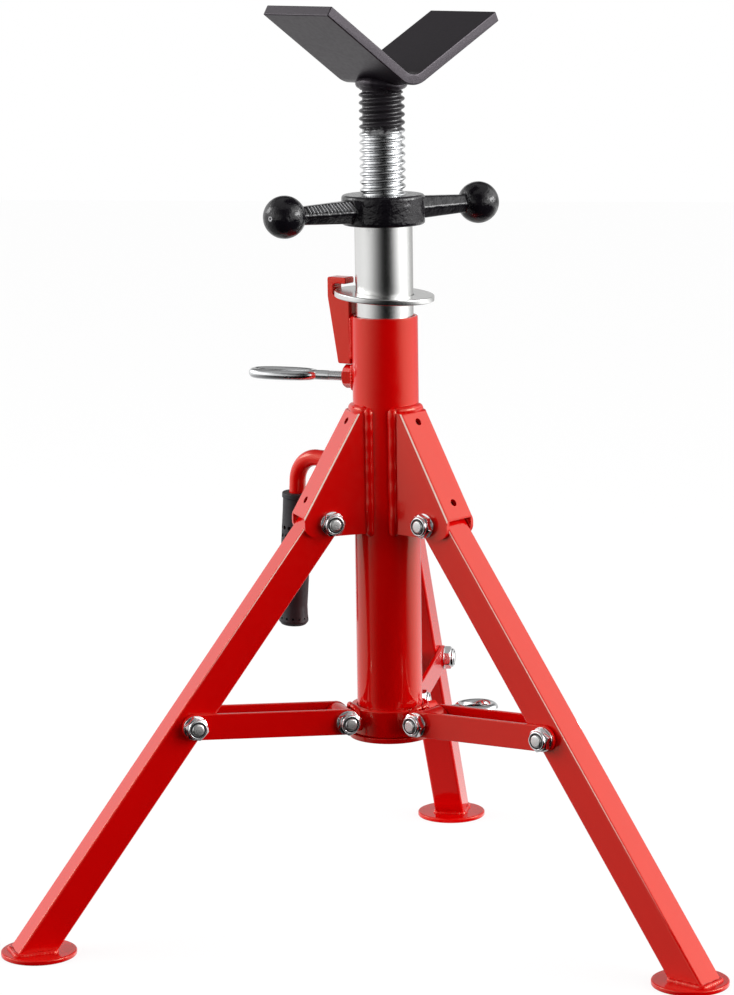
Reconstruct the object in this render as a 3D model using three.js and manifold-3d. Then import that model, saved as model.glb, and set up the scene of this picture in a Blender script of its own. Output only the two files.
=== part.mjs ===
// Folding pipe jack stand: a column on three hinged legs, with a sliding post, a jack screw and a V head.
// Millimetres, +Z up, the floor at z = 0 and the origin midway between the outermost feet.
// Inside a spoke group x runs out from the column, y runs sideways and z runs up.
import * as THREE from "three";
import { mergeVertices } from "three/addons/utils/BufferGeometryUtils.js";
import Module from "manifold-3d";

const wasm = await Module();
wasm.setup();

const degree = Math.PI / 180;
const quarterTurn = 90;

// Fits and finish shared by all pieces
const seatGap = 0.3;
const boltClearance = 0.4;
const overrun = 5;
const edgeBreak = 0.6;
const sides = { large: 28, middle: 14, bolt: 10, small: 8 };
const arcSteps = 2;

// Where the spokes stand, in degrees about the column
const legAzimuths = { rear: 90, left: 210, right: 330 };
const nutSides = { rear: -1, left: 1, right: -1 };
const hookAzimuth = 165.5;
const clampAzimuth = 168.5;
const collarScrewAzimuth = 30;
const carryAzimuth = 150;
const spinAzimuth = 44.8;
const troughAzimuth = 145.5;

// Leg linkage, each place given in the spoke's own plane
const pivotRadius = 50.5;
const pivotHeight = 318.9;
const legAngle = 36.93 * degree;
const legPivotSpan = 187.1;
const linkSlope = 3.5 * degree;
const collarPivotRadius = 40.3;

// Legs and feet
const legSize = 25;
const legWall = 2;
const legCorner = 3;
const legAxisOffset = 3;
const legTopReach = 9;
const footRadius = 29;
const footThickness = 4;
const footInset = 4.3;

// Column, post and stop flange
const columnRadius = 25.4;
const columnWall = 2.5;
const columnAbovePivot = 155.5;
const stopFlangeRadius = 32;
const stopFlangeThickness = 4;
const postRadius = 22.2;
const postWall = 2.5;
const postLength = 350;
const postOut = 73.5;

// Gusset brackets that carry the leg pivots
const bracketPlate = 3;
const bracketSideGap = 0.5;
const bracketBend = 3;
const bracketReach = 72.4;
const bracketBelowPivot = 9.9;
const bracketToeRise = 6.4;
const bracketShoulderRadius = 28.4;
const bracketShoulderRise = 82.9;
const bracketCap = 3.7;
const bracketToeRound = 8;
const bracketHole = 2.4;
const bracketHoleInset = 7.5;

// Link bars and the sliding collar
const barWidth = 20;
const barThickness = 3;
const collarRadius = 30.5;
const collarBore = 25.9;
const collarHeight = 21;
const collarPivotRise = 12.8;
const sleeveRadius = 9.5;
const sleeveSaddle = 6;

// Bolts and lock nuts
const boltRadius = 5;
const headFlats = 16;
const headHeight = 6;
const washerRadius = 9.4;
const washerThickness = 1.3;
const nutFlats = 16.5;
const nutHeight = 5.2;
const nutCollarRadius = 7.4;
const nutCollarHeight = 1.7;
const boltEnd = 1;

// Lock ring and the hook that holds it
const ringRadius = 38.35;
const ringThickness = 4.5;
const ringClearance = 0.5;
const ringAbove = 15.4;
const ringTilt = 4 * degree;
const hookThickness = 12;
const hookReach = 45.5;
const hookFootReach = 36.6;
const hookGrip = 37.9;
const hookRise = 13.6;
const hookHead = 15;
const hookLip = 5;
const hookTip = 28.5;
const hookNotchSide = 40;
const hookNotchRound = 2.5;
const hookRound = 1.5;

// Clamp screws with an eye, and their bosses
const clampBelowTop = 48.1;
const screwRadius = 3.85;
const wireRadius = 3.8;
const clampEye = { reach: 85, length: 58, width: 28 };
const collarEye = { reach: 72, length: 34, width: 33 };
const bossFlats = 17;
const bossLength = 10;

// Carrying handle
const carryRadius = 6.5;
const carryBelowClamp = 69.3;
const carryReach = 92.8;
const carryBend = 21;
const carryLean = 3.5 * degree;
const carryDrop = 113.6;
const gripRadius = 11.2;
const gripRimRadius = 12;
const gripRim = 5;
const gripLength = 107.6;
const gripCap = 4;
const gripHoles = 8;
const gripHole = 1.4;

// Spin handle, a nut on the jack screw with two arms
const hubRadius = 31.8;
const hubHeight = 23;
const hubBevel = 2.5;
const hubSeatDepth = 4;
const armRootHeight = 17;
const armRootFlat = 10;
const armRootWidth = 20;
const armEndHeight = 13;
const armEndFlat = 6;
const armEndWidth = 13;
const ballRadius = 16.2;
const ballReach = 89.2;
const ballDrop = 0.3;

// Jack screw
const threadRadius = 17.5;
const threadRoot = 14.9;
const threadPitch = 6;
const threadCrestShare = 0.22;
const threadRootShare = 0.36;
const threadClearance = 0.35;
const threadSteps = 10;
const screwBelowHub = 88;
const screwAboveHub = 81.5;
const screwPlain = 3;
const screwEndBevel = 2;

// V head
const headAngle = 30.2 * degree;
const headTilt = 3.2 * degree;
const wingLength = 101;
const wingThickness = 8.2;
const troughLength = 69;
const troughRound = 16;
const wingTipRound = 1;
const headSink = 1.8;
const weldRadius = 18.8;
const weldFootRadius = 16.6;
const weldLength = 4;

// Places that follow from the sizes above
const linkEndRadius = pivotRadius + legPivotSpan * Math.sin(legAngle);
const linkEndHeight = pivotHeight - legPivotSpan * Math.cos(legAngle);
const linkLength = (linkEndRadius - collarPivotRadius) / Math.cos(linkSlope);
const collarPivotHeight = linkEndHeight - linkLength * Math.sin(linkSlope);
const collarFoot = collarPivotHeight - collarPivotRise;
const stopFlangeFoot = collarFoot - seatGap - stopFlangeThickness;
const columnFoot = collarFoot;
const columnTop = pivotHeight + columnAbovePivot;
const columnEnvelope = columnRadius + seatGap;
const bracketFoot = pivotHeight - bracketBelowPivot;
const bracketToe = pivotHeight + bracketToeRise;
const bracketShoulder = pivotHeight + bracketShoulderRise;
const bracketTop = bracketShoulder + bracketCap;
const hookFoot = columnTop - hookGrip;
const hookShoulder = columnTop + hookRise;
const hookTop = hookShoulder + hookHead;
const clampHeight = columnTop - clampBelowTop;
const carryHeight = clampHeight - carryBelowClamp;
const postTop = columnTop + postOut;
const hubFoot = postTop + seatGap - hubSeatDepth;
const hubTop = hubFoot + hubHeight;
const ballHeight = hubFoot + hubHeight / 2 - ballDrop;
const ringHeight = columnTop + ringAbove;
const legTubeStart = pivotRadius + legAxisOffset * Math.cos(legAngle);
const legTubeHeight = pivotHeight + legAxisOffset * Math.sin(legAngle);
const legCut = footThickness + seatGap;
const footCircle = legTubeStart + (legTubeHeight - legCut) * Math.tan(legAngle) - footInset;
const columnBack = footCircle / 4;
const barInner = legSize / 2 + seatGap;
const barOuter = barInner + barThickness;
const bracketInner = legSize / 2 + bracketSideGap;
const bracketOuter = bracketInner + bracketPlate;
const webAngle = Math.atan2(bracketReach - bracketShoulderRadius, bracketShoulder - bracketToe);

const finish = {
  red: { color: 0xc4161c, roughness: 0.28, metalness: 0 },
  black: { color: 0x1d1c1f, roughness: 0.4, metalness: 0.1 },
  gloss: { color: 0x0d0c0e, roughness: 0.18, metalness: 0.1 },
  steel: { color: 0xb9bcbd, roughness: 0.35, metalness: 1 },
  bright: { color: 0xd3d5d6, roughness: 0.2, metalness: 1 },
  rubber: { color: 0x1a1a1c, roughness: 0.75, metalness: 0 },
};

// A closed geometry as a solid that can be joined and cut, its faces turned outwards
function solid(geometry) {
  const bare = new THREE.BufferGeometry();
  bare.setAttribute("position", geometry.getAttribute("position").clone());
  if (geometry.index) bare.setIndex(geometry.index.clone());
  const merged = mergeVertices(bare);
  const faces = [];
  for (let i = 0; i < merged.index.count; i += 3) {
    const [a, b, c] = [0, 1, 2].map((k) => merged.index.getX(i + k));
    if (a !== b && b !== c && c !== a) faces.push([a, b, c]);
  }
  const made = (list) =>
    new wasm.Manifold(
      new wasm.Mesh({
        numProp: 3,
        vertProperties: new Float32Array(merged.attributes.position.array),
        triVerts: new Uint32Array(list.flat()),
      }),
    );
  const body = made(faces);
  return body.volume() < 0 ? made(faces.map((face) => face.toReversed())) : body;
}

// The surface of a solid as a geometry
function surface(body) {
  const mesh = body.getMesh();
  const geometry = new THREE.BufferGeometry();
  geometry.setAttribute("position", new THREE.BufferAttribute(mesh.vertProperties, 3));
  geometry.setIndex(new THREE.BufferAttribute(mesh.triVerts, 1));
  geometry.computeVertexNormals();
  return geometry;
}

function join(...bodies) {
  return bodies.reduce((whole, body) => whole.add(body));
}

function cut(body, ...tools) {
  return tools.reduce((whole, tool) => whole.subtract(tool), body);
}

// A flat outline from corners [x, y, radius], each corner rounded by its own radius
function outline(corners) {
  const shape = new THREE.Shape();
  const points = corners.map(([x, y]) => new THREE.Vector2(x, y));
  corners.forEach(([, , radius = 0], i) => {
    const here = points[i];
    const back = points.at(i - 1).clone().sub(here).normalize();
    const ahead = points[(i + 1) % points.length].clone().sub(here).normalize();
    const line = i ? "lineTo" : "moveTo";
    if (!radius) {
      shape[line](here.x, here.y);
      return;
    }
    const half = Math.acos(back.dot(ahead)) / 2;
    const start = back.clone().multiplyScalar(radius / Math.tan(half)).add(here);
    const end = ahead.clone().multiplyScalar(radius / Math.tan(half)).add(here);
    const centre = back.clone().add(ahead).normalize().multiplyScalar(radius / Math.sin(half)).add(here);
    shape[line](start.x, start.y);
    shape.absarc(
      centre.x,
      centre.y,
      radius,
      start.sub(centre).angle(),
      end.sub(centre).angle(),
      back.cross(ahead) > 0,
    );
  });
  return shape;
}

// An outline drawn in a spoke's plane, x out and y up, as a plate from one sideways place to another
function plate(shape, from, to) {
  const geometry = new THREE.ExtrudeGeometry(shape, {
    depth: to - from,
    bevelEnabled: false,
    curveSegments: arcSteps,
  });
  return solid(geometry.rotateX(Math.PI / 2).translate(0, to, 0));
}

// A round bar between two points, each [x, y, z]
function bar(radius, from, to, count = sides.bolt) {
  const start = new THREE.Vector3(...from);
  const along = new THREE.Vector3(...to).sub(start);
  const turn = new THREE.Quaternion().setFromUnitVectors(
    new THREE.Vector3(0, 1, 0),
    along.clone().normalize(),
  );
  const geometry = new THREE.CylinderGeometry(radius, radius, along.length(), count);
  const middle = start.addScaledVector(along, 1 / 2);
  return solid(geometry.applyQuaternion(turn).translate(middle.x, middle.y, middle.z));
}

// A profile of [radius, height] points turned about the z axis
function revolve(profile, count = sides.large) {
  const points = profile.map(([radius, height]) => new THREE.Vector2(radius, height));
  return solid(new THREE.LatheGeometry(points, count).rotateX(Math.PI / 2));
}

// A tube or ring with its outer edges broken
function ring(inner, outer, foot, top, edge = edgeBreak) {
  return revolve([
    [inner, foot],
    [outer - edge, foot],
    [outer, foot + edge],
    [outer, top - edge],
    [outer - edge, top],
    [inner, top],
    [inner, foot],
  ]);
}

// A hexagonal prism along y with its outer corners turned off at the far end
function hexagon(flats, from, to) {
  const corner = flats / 2 / Math.cos(Math.PI / 6);
  const along = Math.sign(to - from);
  const prism = new THREE.CylinderGeometry(corner, corner, Math.abs(to - from), 6);
  const crown = [
    [0, from],
    [corner, from],
    [corner, to - along * (corner - flats / 2)],
    [flats / 2 - edgeBreak / 2, to],
    [0, to],
  ].map(([radius, place]) => new THREE.Vector2(radius, place));
  return solid(prism.translate(0, (from + to) / 2, 0)).intersect(
    solid(new THREE.LatheGeometry(crown, sides.small + sides.small / 2)),
  );
}

// Rings of points joined into a closed skin, with a flat cap at both ends
function loft(rings) {
  const count = rings[0].length;
  const faces = [];
  rings.slice(1).forEach((_, level) => {
    for (let i = 0; i < count; i += 1) {
      const a = level * count + i;
      const b = level * count + ((i + 1) % count);
      faces.push(a, b, b + count, a, b + count, a + count);
    }
  });
  const last = (rings.length - 1) * count;
  for (let i = 1; i < count - 1; i += 1) {
    faces.push(0, i + 1, i, last, last + i, last + i + 1);
  }
  const geometry = new THREE.BufferGeometry().setFromPoints(rings.flat());
  return solid(geometry.setIndex(faces));
}

// A right-hand screw thread about z: one strip of profile points wound up the helix, then cut to length
function thread(rootRadius, crestRadius, foot, top, endBevel, grow = 0) {
  const spread = grow ? 1 / Math.cos(Math.PI / threadSteps) : 1;
  const root = (rootRadius + grow) * spread;
  const crest = (crestRadius + grow) * spread;
  const crestHalf = (threadPitch * threadCrestShare) / 2 + grow / 2;
  const rootHalf = (threadPitch * threadRootShare) / 2 - grow / 2;
  const profile = [
    [root, -rootHalf],
    [root, rootHalf],
    [crest, threadPitch / 2 - crestHalf],
    [crest, threadPitch / 2 + crestHalf],
  ];
  const turns = Math.ceil((top - foot) / threadPitch) + 2;
  const start = Math.floor(foot / threadPitch - 1) * threadPitch;
  const steps = turns * threadSteps;
  const points = [];
  for (let i = 0; i <= steps + threadSteps; i += 1) {
    const angle = ((i % threadSteps) / threadSteps) * 2 * Math.PI;
    const rise = start + (i / threadSteps) * threadPitch;
    profile.forEach(([radius, height]) => {
      points.push(new THREE.Vector3(radius * Math.cos(angle), radius * Math.sin(angle), rise + height));
    });
  }
  const width = profile.length;
  const at = (i, k) => (k < width ? i * width + k : (i + threadSteps) * width);
  const faces = [];
  for (let i = 0; i < steps; i += 1) {
    for (let k = 0; k < width; k += 1) {
      faces.push(at(i, k), at(i + 1, k), at(i + 1, k + 1), at(i, k), at(i + 1, k + 1), at(i, k + 1));
    }
  }
  // The two ends close on a point of the axis, beyond what the cut to length leaves
  const closeEnd = (i, height, facing) => {
    const centre = points.push(new THREE.Vector3(0, 0, height)) - 1;
    const loop = [];
    for (let step = 0; step < threadSteps; step += 1) loop.push(at(i + step, 0));
    for (let k = width; k > 0; k -= 1) loop.push(at(i, k));
    loop.forEach((point, n) => {
      const next = loop[(n + 1) % loop.length];
      faces.push(...(facing ? [centre, point, next] : [centre, next, point]));
    });
  };
  closeEnd(0, start - threadPitch, false);
  closeEnd(steps, start + (turns + 2) * threadPitch, true);
  const wound = solid(new THREE.BufferGeometry().setFromPoints(points).setIndex(faces));
  const blank = revolve(
    [
      [0, foot],
      [crest - endBevel, foot],
      [crest + overrun, foot + endBevel + overrun],
      [crest + overrun, top],
      [0, top],
    ],
    threadSteps,
  );
  return wound.intersect(blank);
}

const stand = new THREE.Group();
stand.position.y = -columnBack;

const spokes = new Map();
function spoke(azimuth) {
  if (!spokes.has(azimuth)) {
    const group = new THREE.Group();
    group.rotation.z = azimuth * degree;
    stand.add(group);
    spokes.set(azimuth, group);
  }
  return spokes.get(azimuth);
}

function add(name, azimuth, body, look) {
  const mesh = new THREE.Mesh(surface(body), new THREE.MeshStandardMaterial(finish[look]));
  mesh.name = name;
  spoke(azimuth).add(mesh);
  return mesh;
}

// A body moved to [x, y, z] within its spoke
function moved(body, place) {
  return body.translate(place);
}

// Bolt, head and lock nut across a pivot, drawn about the y axis; side is the way that the nut faces
function boltShank(side, seat) {
  return bar(boltRadius, [0, -side * seat, 0], [0, side * (seat + nutStack() + boltEnd), 0]);
}

function nutStack() {
  return washerThickness + nutHeight + nutCollarHeight;
}

function boltHead(side, seat) {
  const foot = -side * seat;
  return hexagon(headFlats, foot, foot - side * headHeight);
}

function lockNut(side, seat) {
  const washerTop = side * (seat + washerThickness);
  const hexTop = washerTop + side * nutHeight;
  const washer = bar(washerRadius, [0, side * seat, 0], [0, washerTop, 0]);
  const collar = bar(nutCollarRadius, [0, hexTop, 0], [0, hexTop + side * nutCollarHeight, 0]);
  const past = seat + nutStack() + overrun;
  const bore = bar(boltRadius + seatGap, [0, -past, 0], [0, past, 0]);
  return cut(join(washer, hexagon(nutFlats, washerTop, hexTop), collar), bore);
}

// Column with its stop flange
function outerTube() {
  const tube = ring(columnRadius - columnWall, columnRadius, columnFoot, columnTop);
  const away = columnRadius + overrun;
  const angle = (clampAzimuth - hookAzimuth) * degree;
  const hole = bar(screwRadius + boltClearance, [0, 0, clampHeight], [
    away * Math.cos(angle),
    away * Math.sin(angle),
    clampHeight,
  ]);
  return cut(tube, hole);
}

function stopFlange() {
  const bore = columnRadius - columnWall;
  return ring(bore, stopFlangeRadius, stopFlangeFoot, stopFlangeFoot + stopFlangeThickness);
}

const columnSpace = bar(columnEnvelope, [0, 0, 0], [0, 0, columnTop + overrun], sides.large);

// Gusset bracket: a channel bent from plate, cut to shape at the sides and closed over at the shoulder
function bracket() {
  const normal = [Math.cos(webAngle), Math.sin(webAngle)];
  const down = [Math.sin(webAngle), -Math.cos(webAngle)];
  const behind = columnRadius - columnWall - bracketOuter / 2;
  const side = outline([
    [behind, bracketFoot],
    [bracketReach, bracketFoot, bracketToeRound],
    [bracketReach, bracketToe],
    [bracketShoulderRadius, bracketShoulder, bracketBend],
    [behind, bracketTop],
  ]);
  const webRun = (bracketShoulder - bracketToe) / Math.cos(webAngle);
  const depth = bracketReach;
  const section = outline([
    [0, -bracketOuter, bracketBend],
    [0, bracketOuter, bracketBend],
    [-depth, bracketOuter],
    [-depth, -bracketOuter],
  ]);
  const channel = new THREE.ExtrudeGeometry(section, {
    depth: webRun * 3,
    bevelEnabled: false,
    curveSegments: arcSteps,
  });
  const frame = new THREE.Matrix4().makeBasis(
    new THREE.Vector3(normal[0], 0, normal[1]),
    new THREE.Vector3(0, 1, 0),
    new THREE.Vector3(-down[0], 0, -down[1]),
  );
  frame.setPosition(
    bracketReach + down[0] * webRun,
    0,
    bracketToe + down[1] * webRun,
  );
  const block = solid(channel.applyMatrix4(frame)).intersect(
    plate(side, -bracketOuter - overrun, bracketOuter + overrun),
  );
  const toe = [bracketReach - bracketPlate * normal[0], bracketToe - bracketPlate * normal[1]];
  const rise = bracketShoulder - bracketPlate - toe[1];
  const hollow = outline([
    [-overrun, bracketFoot - overrun],
    [bracketReach + overrun, bracketFoot - overrun],
    [bracketReach + overrun, toe[1] + (bracketReach + overrun - toe[0]) * Math.tan(webAngle)],
    toe,
    [toe[0] - rise * Math.tan(webAngle), toe[1] + rise],
    [-overrun, toe[1] + rise],
  ]);
  const holes = [bracketShoulder - bracketHoleInset, bracketToe + bracketHoleInset + bracketPlate].map(
    (height) => {
      const reach = bracketReach - (height - bracketToe) * Math.tan(webAngle);
      const from = [reach - overrun * normal[0], 0, height - overrun * normal[1]];
      const to = [reach + overrun * normal[0], 0, height + overrun * normal[1]];
      return bar(bracketHole, from, to, sides.small);
    },
  );
  const far = bracketOuter + overrun;
  const pivotHole = bar(boltRadius + boltClearance, [pivotRadius, -far, pivotHeight], [
    pivotRadius,
    far,
    pivotHeight,
  ]);
  return cut(block, plate(hollow, -bracketInner, bracketInner), columnSpace, pivotHole, ...holes);
}

// Leg: square tube that hangs from the pivot, cut level above its foot
function leg() {
  const half = legSize / 2;
  const inner = half - legWall;
  const square = (size, round) =>
    outline([
      [-size, -size, round],
      [size, -size, round],
      [size, size, round],
      [-size, size, round],
    ]);
  const run = (legTubeHeight - legCut) / Math.cos(legAngle) + legSize;
  const length = run + legTopReach;
  const tube = (shape) => {
    const geometry = new THREE.ExtrudeGeometry(shape, {
      depth: length,
      bevelEnabled: false,
      curveSegments: arcSteps,
    });
    geometry.translate(0, 0, -run).rotateY(-legAngle);
    return solid(geometry.translate(legTubeStart, 0, legTubeHeight));
  };
  const wall = cut(tube(square(half, legCorner)), tube(square(inner, 0)));
  const ground = solid(
    new THREE.BoxGeometry(footCircle * 2, legSize * 2, legSize * 4).translate(footCircle, 0, legCut - legSize * 2),
  );
  const holes = [
    [pivotRadius, pivotHeight],
    [linkEndRadius, linkEndHeight],
  ].map(([x, z]) => bar(boltRadius + boltClearance, [x, -legSize, z], [x, legSize, z]));
  return cut(wall, ground, ...holes);
}

function foot() {
  return moved(
    revolve([
      [0, 0],
      [footRadius - edgeBreak, 0],
      [footRadius, edgeBreak],
      [footRadius, footThickness - edgeBreak],
      [footRadius - edgeBreak, footThickness],
      [0, footThickness],
    ]),
    [footCircle, 0, 0],
  );
}

// Link bar with round ends, from the collar pivot to the leg
function linkBar(side) {
  const half = barWidth / 2;
  const shape = outline([
    [-half, -half, half - edgeBreak],
    [linkLength + half, -half, half - edgeBreak],
    [linkLength + half, half, half - edgeBreak],
    [-half, half, half - edgeBreak],
  ]);
  const from = Math.min(side * barInner, side * barOuter);
  const blank = plate(shape, from, from + barThickness);
  const holes = [0, linkLength].map((x) =>
    bar(boltRadius + boltClearance, [x, from - overrun, 0], [x, from + barThickness + overrun, 0]),
  );
  return moved(cut(blank, ...holes).rotate([0, -linkSlope / degree, 0]), [collarPivotRadius, 0, collarPivotHeight]);
}

// Sliding collar: a ring with three sleeves welded on for the link bolts
function collar() {
  const body = ring(collarBore, collarRadius, collarFoot, collarFoot + collarHeight);
  const half = legSize / 2;
  const column = bar(collarBore, [0, 0, collarFoot - overrun], [0, 0, columnTop], sides.large);
  const arms = Object.values(legAzimuths).map((azimuth) => {
    const sleeve = bar(sleeveRadius, [collarPivotRadius, -half, collarPivotHeight], [
      collarPivotRadius,
      half,
      collarPivotHeight,
    ]);
    const saddle = solid(
      new THREE.BoxGeometry(collarPivotRadius - collarBore, legSize - sleeveSaddle, sleeveSaddle * 2).translate(
        (collarPivotRadius + collarBore) / 2,
        0,
        collarPivotHeight,
      ),
    );
    const bore = bar(boltRadius + boltClearance, [collarPivotRadius, -legSize, collarPivotHeight], [
      collarPivotRadius,
      legSize,
      collarPivotHeight,
    ]);
    return cut(join(sleeve, saddle), bore, column).rotate([0, 0, azimuth - collarScrewAzimuth]);
  });
  const eyeBore = bar(screwRadius + boltClearance, [0, 0, collarScrewHeight()], [
    collarRadius + overrun,
    0,
    collarScrewHeight(),
  ]);
  return cut(join(body, ...arms), eyeBore);
}

function collarScrewHeight() {
  return collarFoot + collarHeight / 2;
}

// Hexagonal boss that a clamp screw is threaded through, seated on a round wall
function boss(wallRadius, height) {
  const start = wallRadius - overrun;
  const end = wallRadius + bossLength;
  const hex = hexagon(bossFlats, start, end).rotate([0, 0, -quarterTurn]);
  const bore = bar(screwRadius + boltClearance, [0, 0, 0], [end + overrun, 0, 0]);
  const wall = bar(wallRadius + seatGap, [0, 0, -bossFlats], [0, 0, bossFlats], sides.large);
  return moved(cut(hex, bore, wall), [0, 0, height]);
}

// Clamp screw with a flat-lying eye, its middle at reach
function eyeScrew(tip, { reach, length, width }, height) {
  class Eye extends THREE.Curve {
    getPoint(t) {
      const angle = t * 2 * Math.PI;
      const long = length / 2 - wireRadius;
      const wide = width / 2 - wireRadius;
      return new THREE.Vector3(long * Math.cos(angle), wide * Math.sin(angle), 0);
    }
  }
  const eye = solid(new THREE.TubeGeometry(new Eye(), sides.large - sides.small, wireRadius, sides.small, true));
  const shank = bar(screwRadius, [tip, 0, 0], [reach - length / 2 + wireRadius, 0, 0]);
  return moved(join(moved(eye, [reach, 0, 0]), shank), [0, 0, height]);
}

// Hook that keeps the lock ring from rising with the post
function hook() {
  const innerEdge = columnEnvelope;
  const ringSlope = Math.tan(ringTilt);
  const notchFloor =
    ringHeight + innerEdge * ringSlope - ringThickness / 2 / Math.cos(ringTilt) - seatGap;
  const lipUnder = hookTop - hookLip;
  const shape = outline([
    [innerEdge - overrun, hookFoot],
    [hookFootReach, hookFoot, hookRound],
    [hookReach, hookShoulder],
    [hookReach, hookTop, hookRound],
    [hookTip, hookTop, hookRound],
    [hookTip, lipUnder, hookRound],
    [hookNotchSide, lipUnder, hookNotchRound],
    [hookNotchSide, notchFloor, hookRound],
    [innerEdge - overrun, notchFloor],
  ]);
  const wall = bar(innerEdge, [0, 0, 0], [0, 0, hookTop + overrun], sides.large);
  const body = plate(shape, -hookThickness / 2, hookThickness / 2);
  const tipGuard = bar(postRadius + ringClearance, [0, 0, 0], [0, 0, hookTop + overrun]);
  return cut(body, wall, tipGuard);
}

function lockRing() {
  const bore = postRadius + ringClearance;
  const disc = ring(bore, ringRadius, -ringThickness / 2, ringThickness / 2);
  return moved(disc.rotate([0, -ringTilt / degree, 0]), [0, 0, ringHeight]);
}

// Carrying handle: a bar out from the column, bent down into a rubber grip
const carryTurn = Math.PI / 2 - carryLean;

function carryBar() {
  const bendStations = Array.from({ length: sides.small }, (_, i) => (i / (sides.small - 1)) * carryTurn);
  const station = (angle, beyond = 0) =>
    Array.from({ length: sides.middle }, (_, i) => {
      const around = (i / sides.middle) * 2 * Math.PI;
      const out = carryBend + carryRadius * Math.cos(around);
      return new THREE.Vector3(
        carryReach - carryBend + out * Math.sin(angle) + beyond * Math.cos(angle),
        carryRadius * Math.sin(around),
        carryHeight - carryBend + out * Math.cos(angle) - beyond * Math.sin(angle),
      );
    });
  const arm = carryReach - carryBend - columnRadius;
  const rings = [station(0, -arm), ...bendStations.map((angle) => station(angle)), station(carryTurn, carryDrop)];
  return cut(loft(rings), columnSpace);
}

function carryEnd() {
  return [
    carryReach - carryBend + carryBend * Math.sin(carryTurn) + carryDrop * Math.cos(carryTurn),
    0,
    carryHeight - carryBend + carryBend * Math.cos(carryTurn) - carryDrop * Math.sin(carryTurn),
  ];
}

function carryGrip() {
  const bore = carryRadius + seatGap;
  const profile = [
    [0, -gripCap],
    [gripRadius - edgeBreak, -gripCap],
    [gripRimRadius, -gripCap + edgeBreak * 2],
    [gripRimRadius, gripRim],
    [gripRadius, gripRim + edgeBreak * 2],
    [gripRadius, gripLength - gripCap - gripRim],
    [gripRimRadius, gripLength - gripCap - gripRim + edgeBreak],
    [gripRimRadius, gripLength - gripCap - edgeBreak],
    [gripRadius, gripLength - gripCap],
    [bore, gripLength - gripCap],
    [bore, -seatGap],
    [0, -seatGap],
  ];
  const rowHeights = [gripRim, gripLength / 2];
  const holes = rowHeights.flatMap((height) =>
    Array.from({ length: gripHoles }, (_, i) => {
      const angle = (i / gripHoles) * 2 * Math.PI;
      const far = gripRimRadius + overrun;
      const near = carryRadius + (gripRadius - carryRadius) / 2;
      return bar(
        gripHole,
        [near * Math.cos(angle), near * Math.sin(angle), height],
        [far * Math.cos(angle), far * Math.sin(angle), height],
        sides.small / 2,
      );
    }),
  );
  const body = cut(revolve(profile, sides.middle), ...holes);
  return moved(body.rotate([0, -carryLean / degree, 0]), carryEnd());
}

// Spin handle: a cast hub that is the nut of the jack screw, with two tapered arms and ball ends
function spinHandle() {
  const hub = ring(threadRoot, hubRadius, hubFoot, hubTop, hubBevel);
  const section = (x, height, flat, width) =>
    [
      [flat / 2, height / 2],
      [-flat / 2, height / 2],
      [-width / 2, 0],
      [-flat / 2, -height / 2],
      [flat / 2, -height / 2],
      [width / 2, 0],
    ].map(([y, z]) => new THREE.Vector3(x, y, ballHeight + z));
  const root = hubRadius - (hubRadius - threadRadius) / 2;
  const arms = [1, -1].map((way) =>
    loft([
      section(way * root, armRootHeight, armRootFlat, armRootWidth),
      section(way * ballReach, armEndHeight, armEndFlat, armEndWidth),
    ]),
  );
  const balls = [1, -1].map((way) => {
    const ball = new THREE.SphereGeometry(ballRadius, sides.middle, sides.small);
    return solid(ball.rotateX(Math.PI / 2).translate(way * ballReach, 0, ballHeight));
  });
  const seat = bar(postRadius + seatGap, [0, 0, hubFoot - overrun], [0, 0, hubFoot + hubSeatDepth], sides.large);
  const nut = thread(threadRoot, threadRadius, hubFoot - overrun, hubTop + overrun, 0, threadClearance);
  return cut(join(hub, ...arms, ...balls), seat, nut.rotate([0, 0, -spinAzimuth]));
}

const screwFoot = hubFoot - screwBelowHub;
const screwTop = hubTop + screwAboveHub;

function jackScrew() {
  const wound = thread(threadRoot, threadRadius, screwFoot, screwTop - screwPlain, screwEndBevel);
  const plain = bar(threadRoot, [0, 0, screwTop - screwPlain - threadPitch], [0, 0, screwTop]);
  return join(wound, plain);
}

// V head: a bent plate on the screw's plain end, tilted a little about its trough, and the weld below it
function vHead() {
  const rise = [Math.cos(headAngle), Math.sin(headAngle)];
  const apex = screwTop + headSink + wingThickness;
  const inner = apex - troughRound * (1 / rise[0] - 1);
  const outer = inner - wingThickness / rise[0];
  const tip = [wingLength * rise[0], inner + wingLength * rise[1]];
  const under = [tip[0] + wingThickness * rise[1], tip[1] - wingThickness * rise[0]];
  const shape = outline([
    [tip[0], tip[1], wingTipRound],
    [0, inner, troughRound],
    [-tip[0], tip[1], wingTipRound],
    [-under[0], under[1], wingTipRound],
    [0, outer, troughRound + wingThickness],
    [under[0], under[1], wingTipRound],
  ]);
  const level = plate(shape, -troughLength / 2, troughLength / 2);
  const trough = moved(moved(level, [0, 0, -inner]).rotate([0, headTilt / degree, 0]), [0, 0, inner]);
  const weldFoot = screwTop - screwPlain + seatGap;
  const weld = revolve(
    [
      [0, weldFoot],
      [weldFootRadius, weldFoot],
      [weldRadius, weldFoot + weldLength],
      [weldRadius, apex - wingThickness / 2],
      [0, apex - wingThickness / 2],
    ],
    sides.middle,
  );
  const socket = bar(threadRoot + seatGap, [0, 0, weldFoot - overrun], [0, 0, screwTop + seatGap], sides.large);
  return cut(join(trough, weld), socket);
}

// The root body
add("outer_tube", hookAzimuth, outerTube(), "red");
add("stop_flange", 0, stopFlange(), "red");
add("hook_bracket", hookAzimuth, hook(), "red");
add("clamp_boss", clampAzimuth, boss(columnRadius, clampHeight), "red");
add("carry_bar", carryAzimuth, carryBar(), "red");
add("carry_grip", carryAzimuth, carryGrip(), "rubber");

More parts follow.
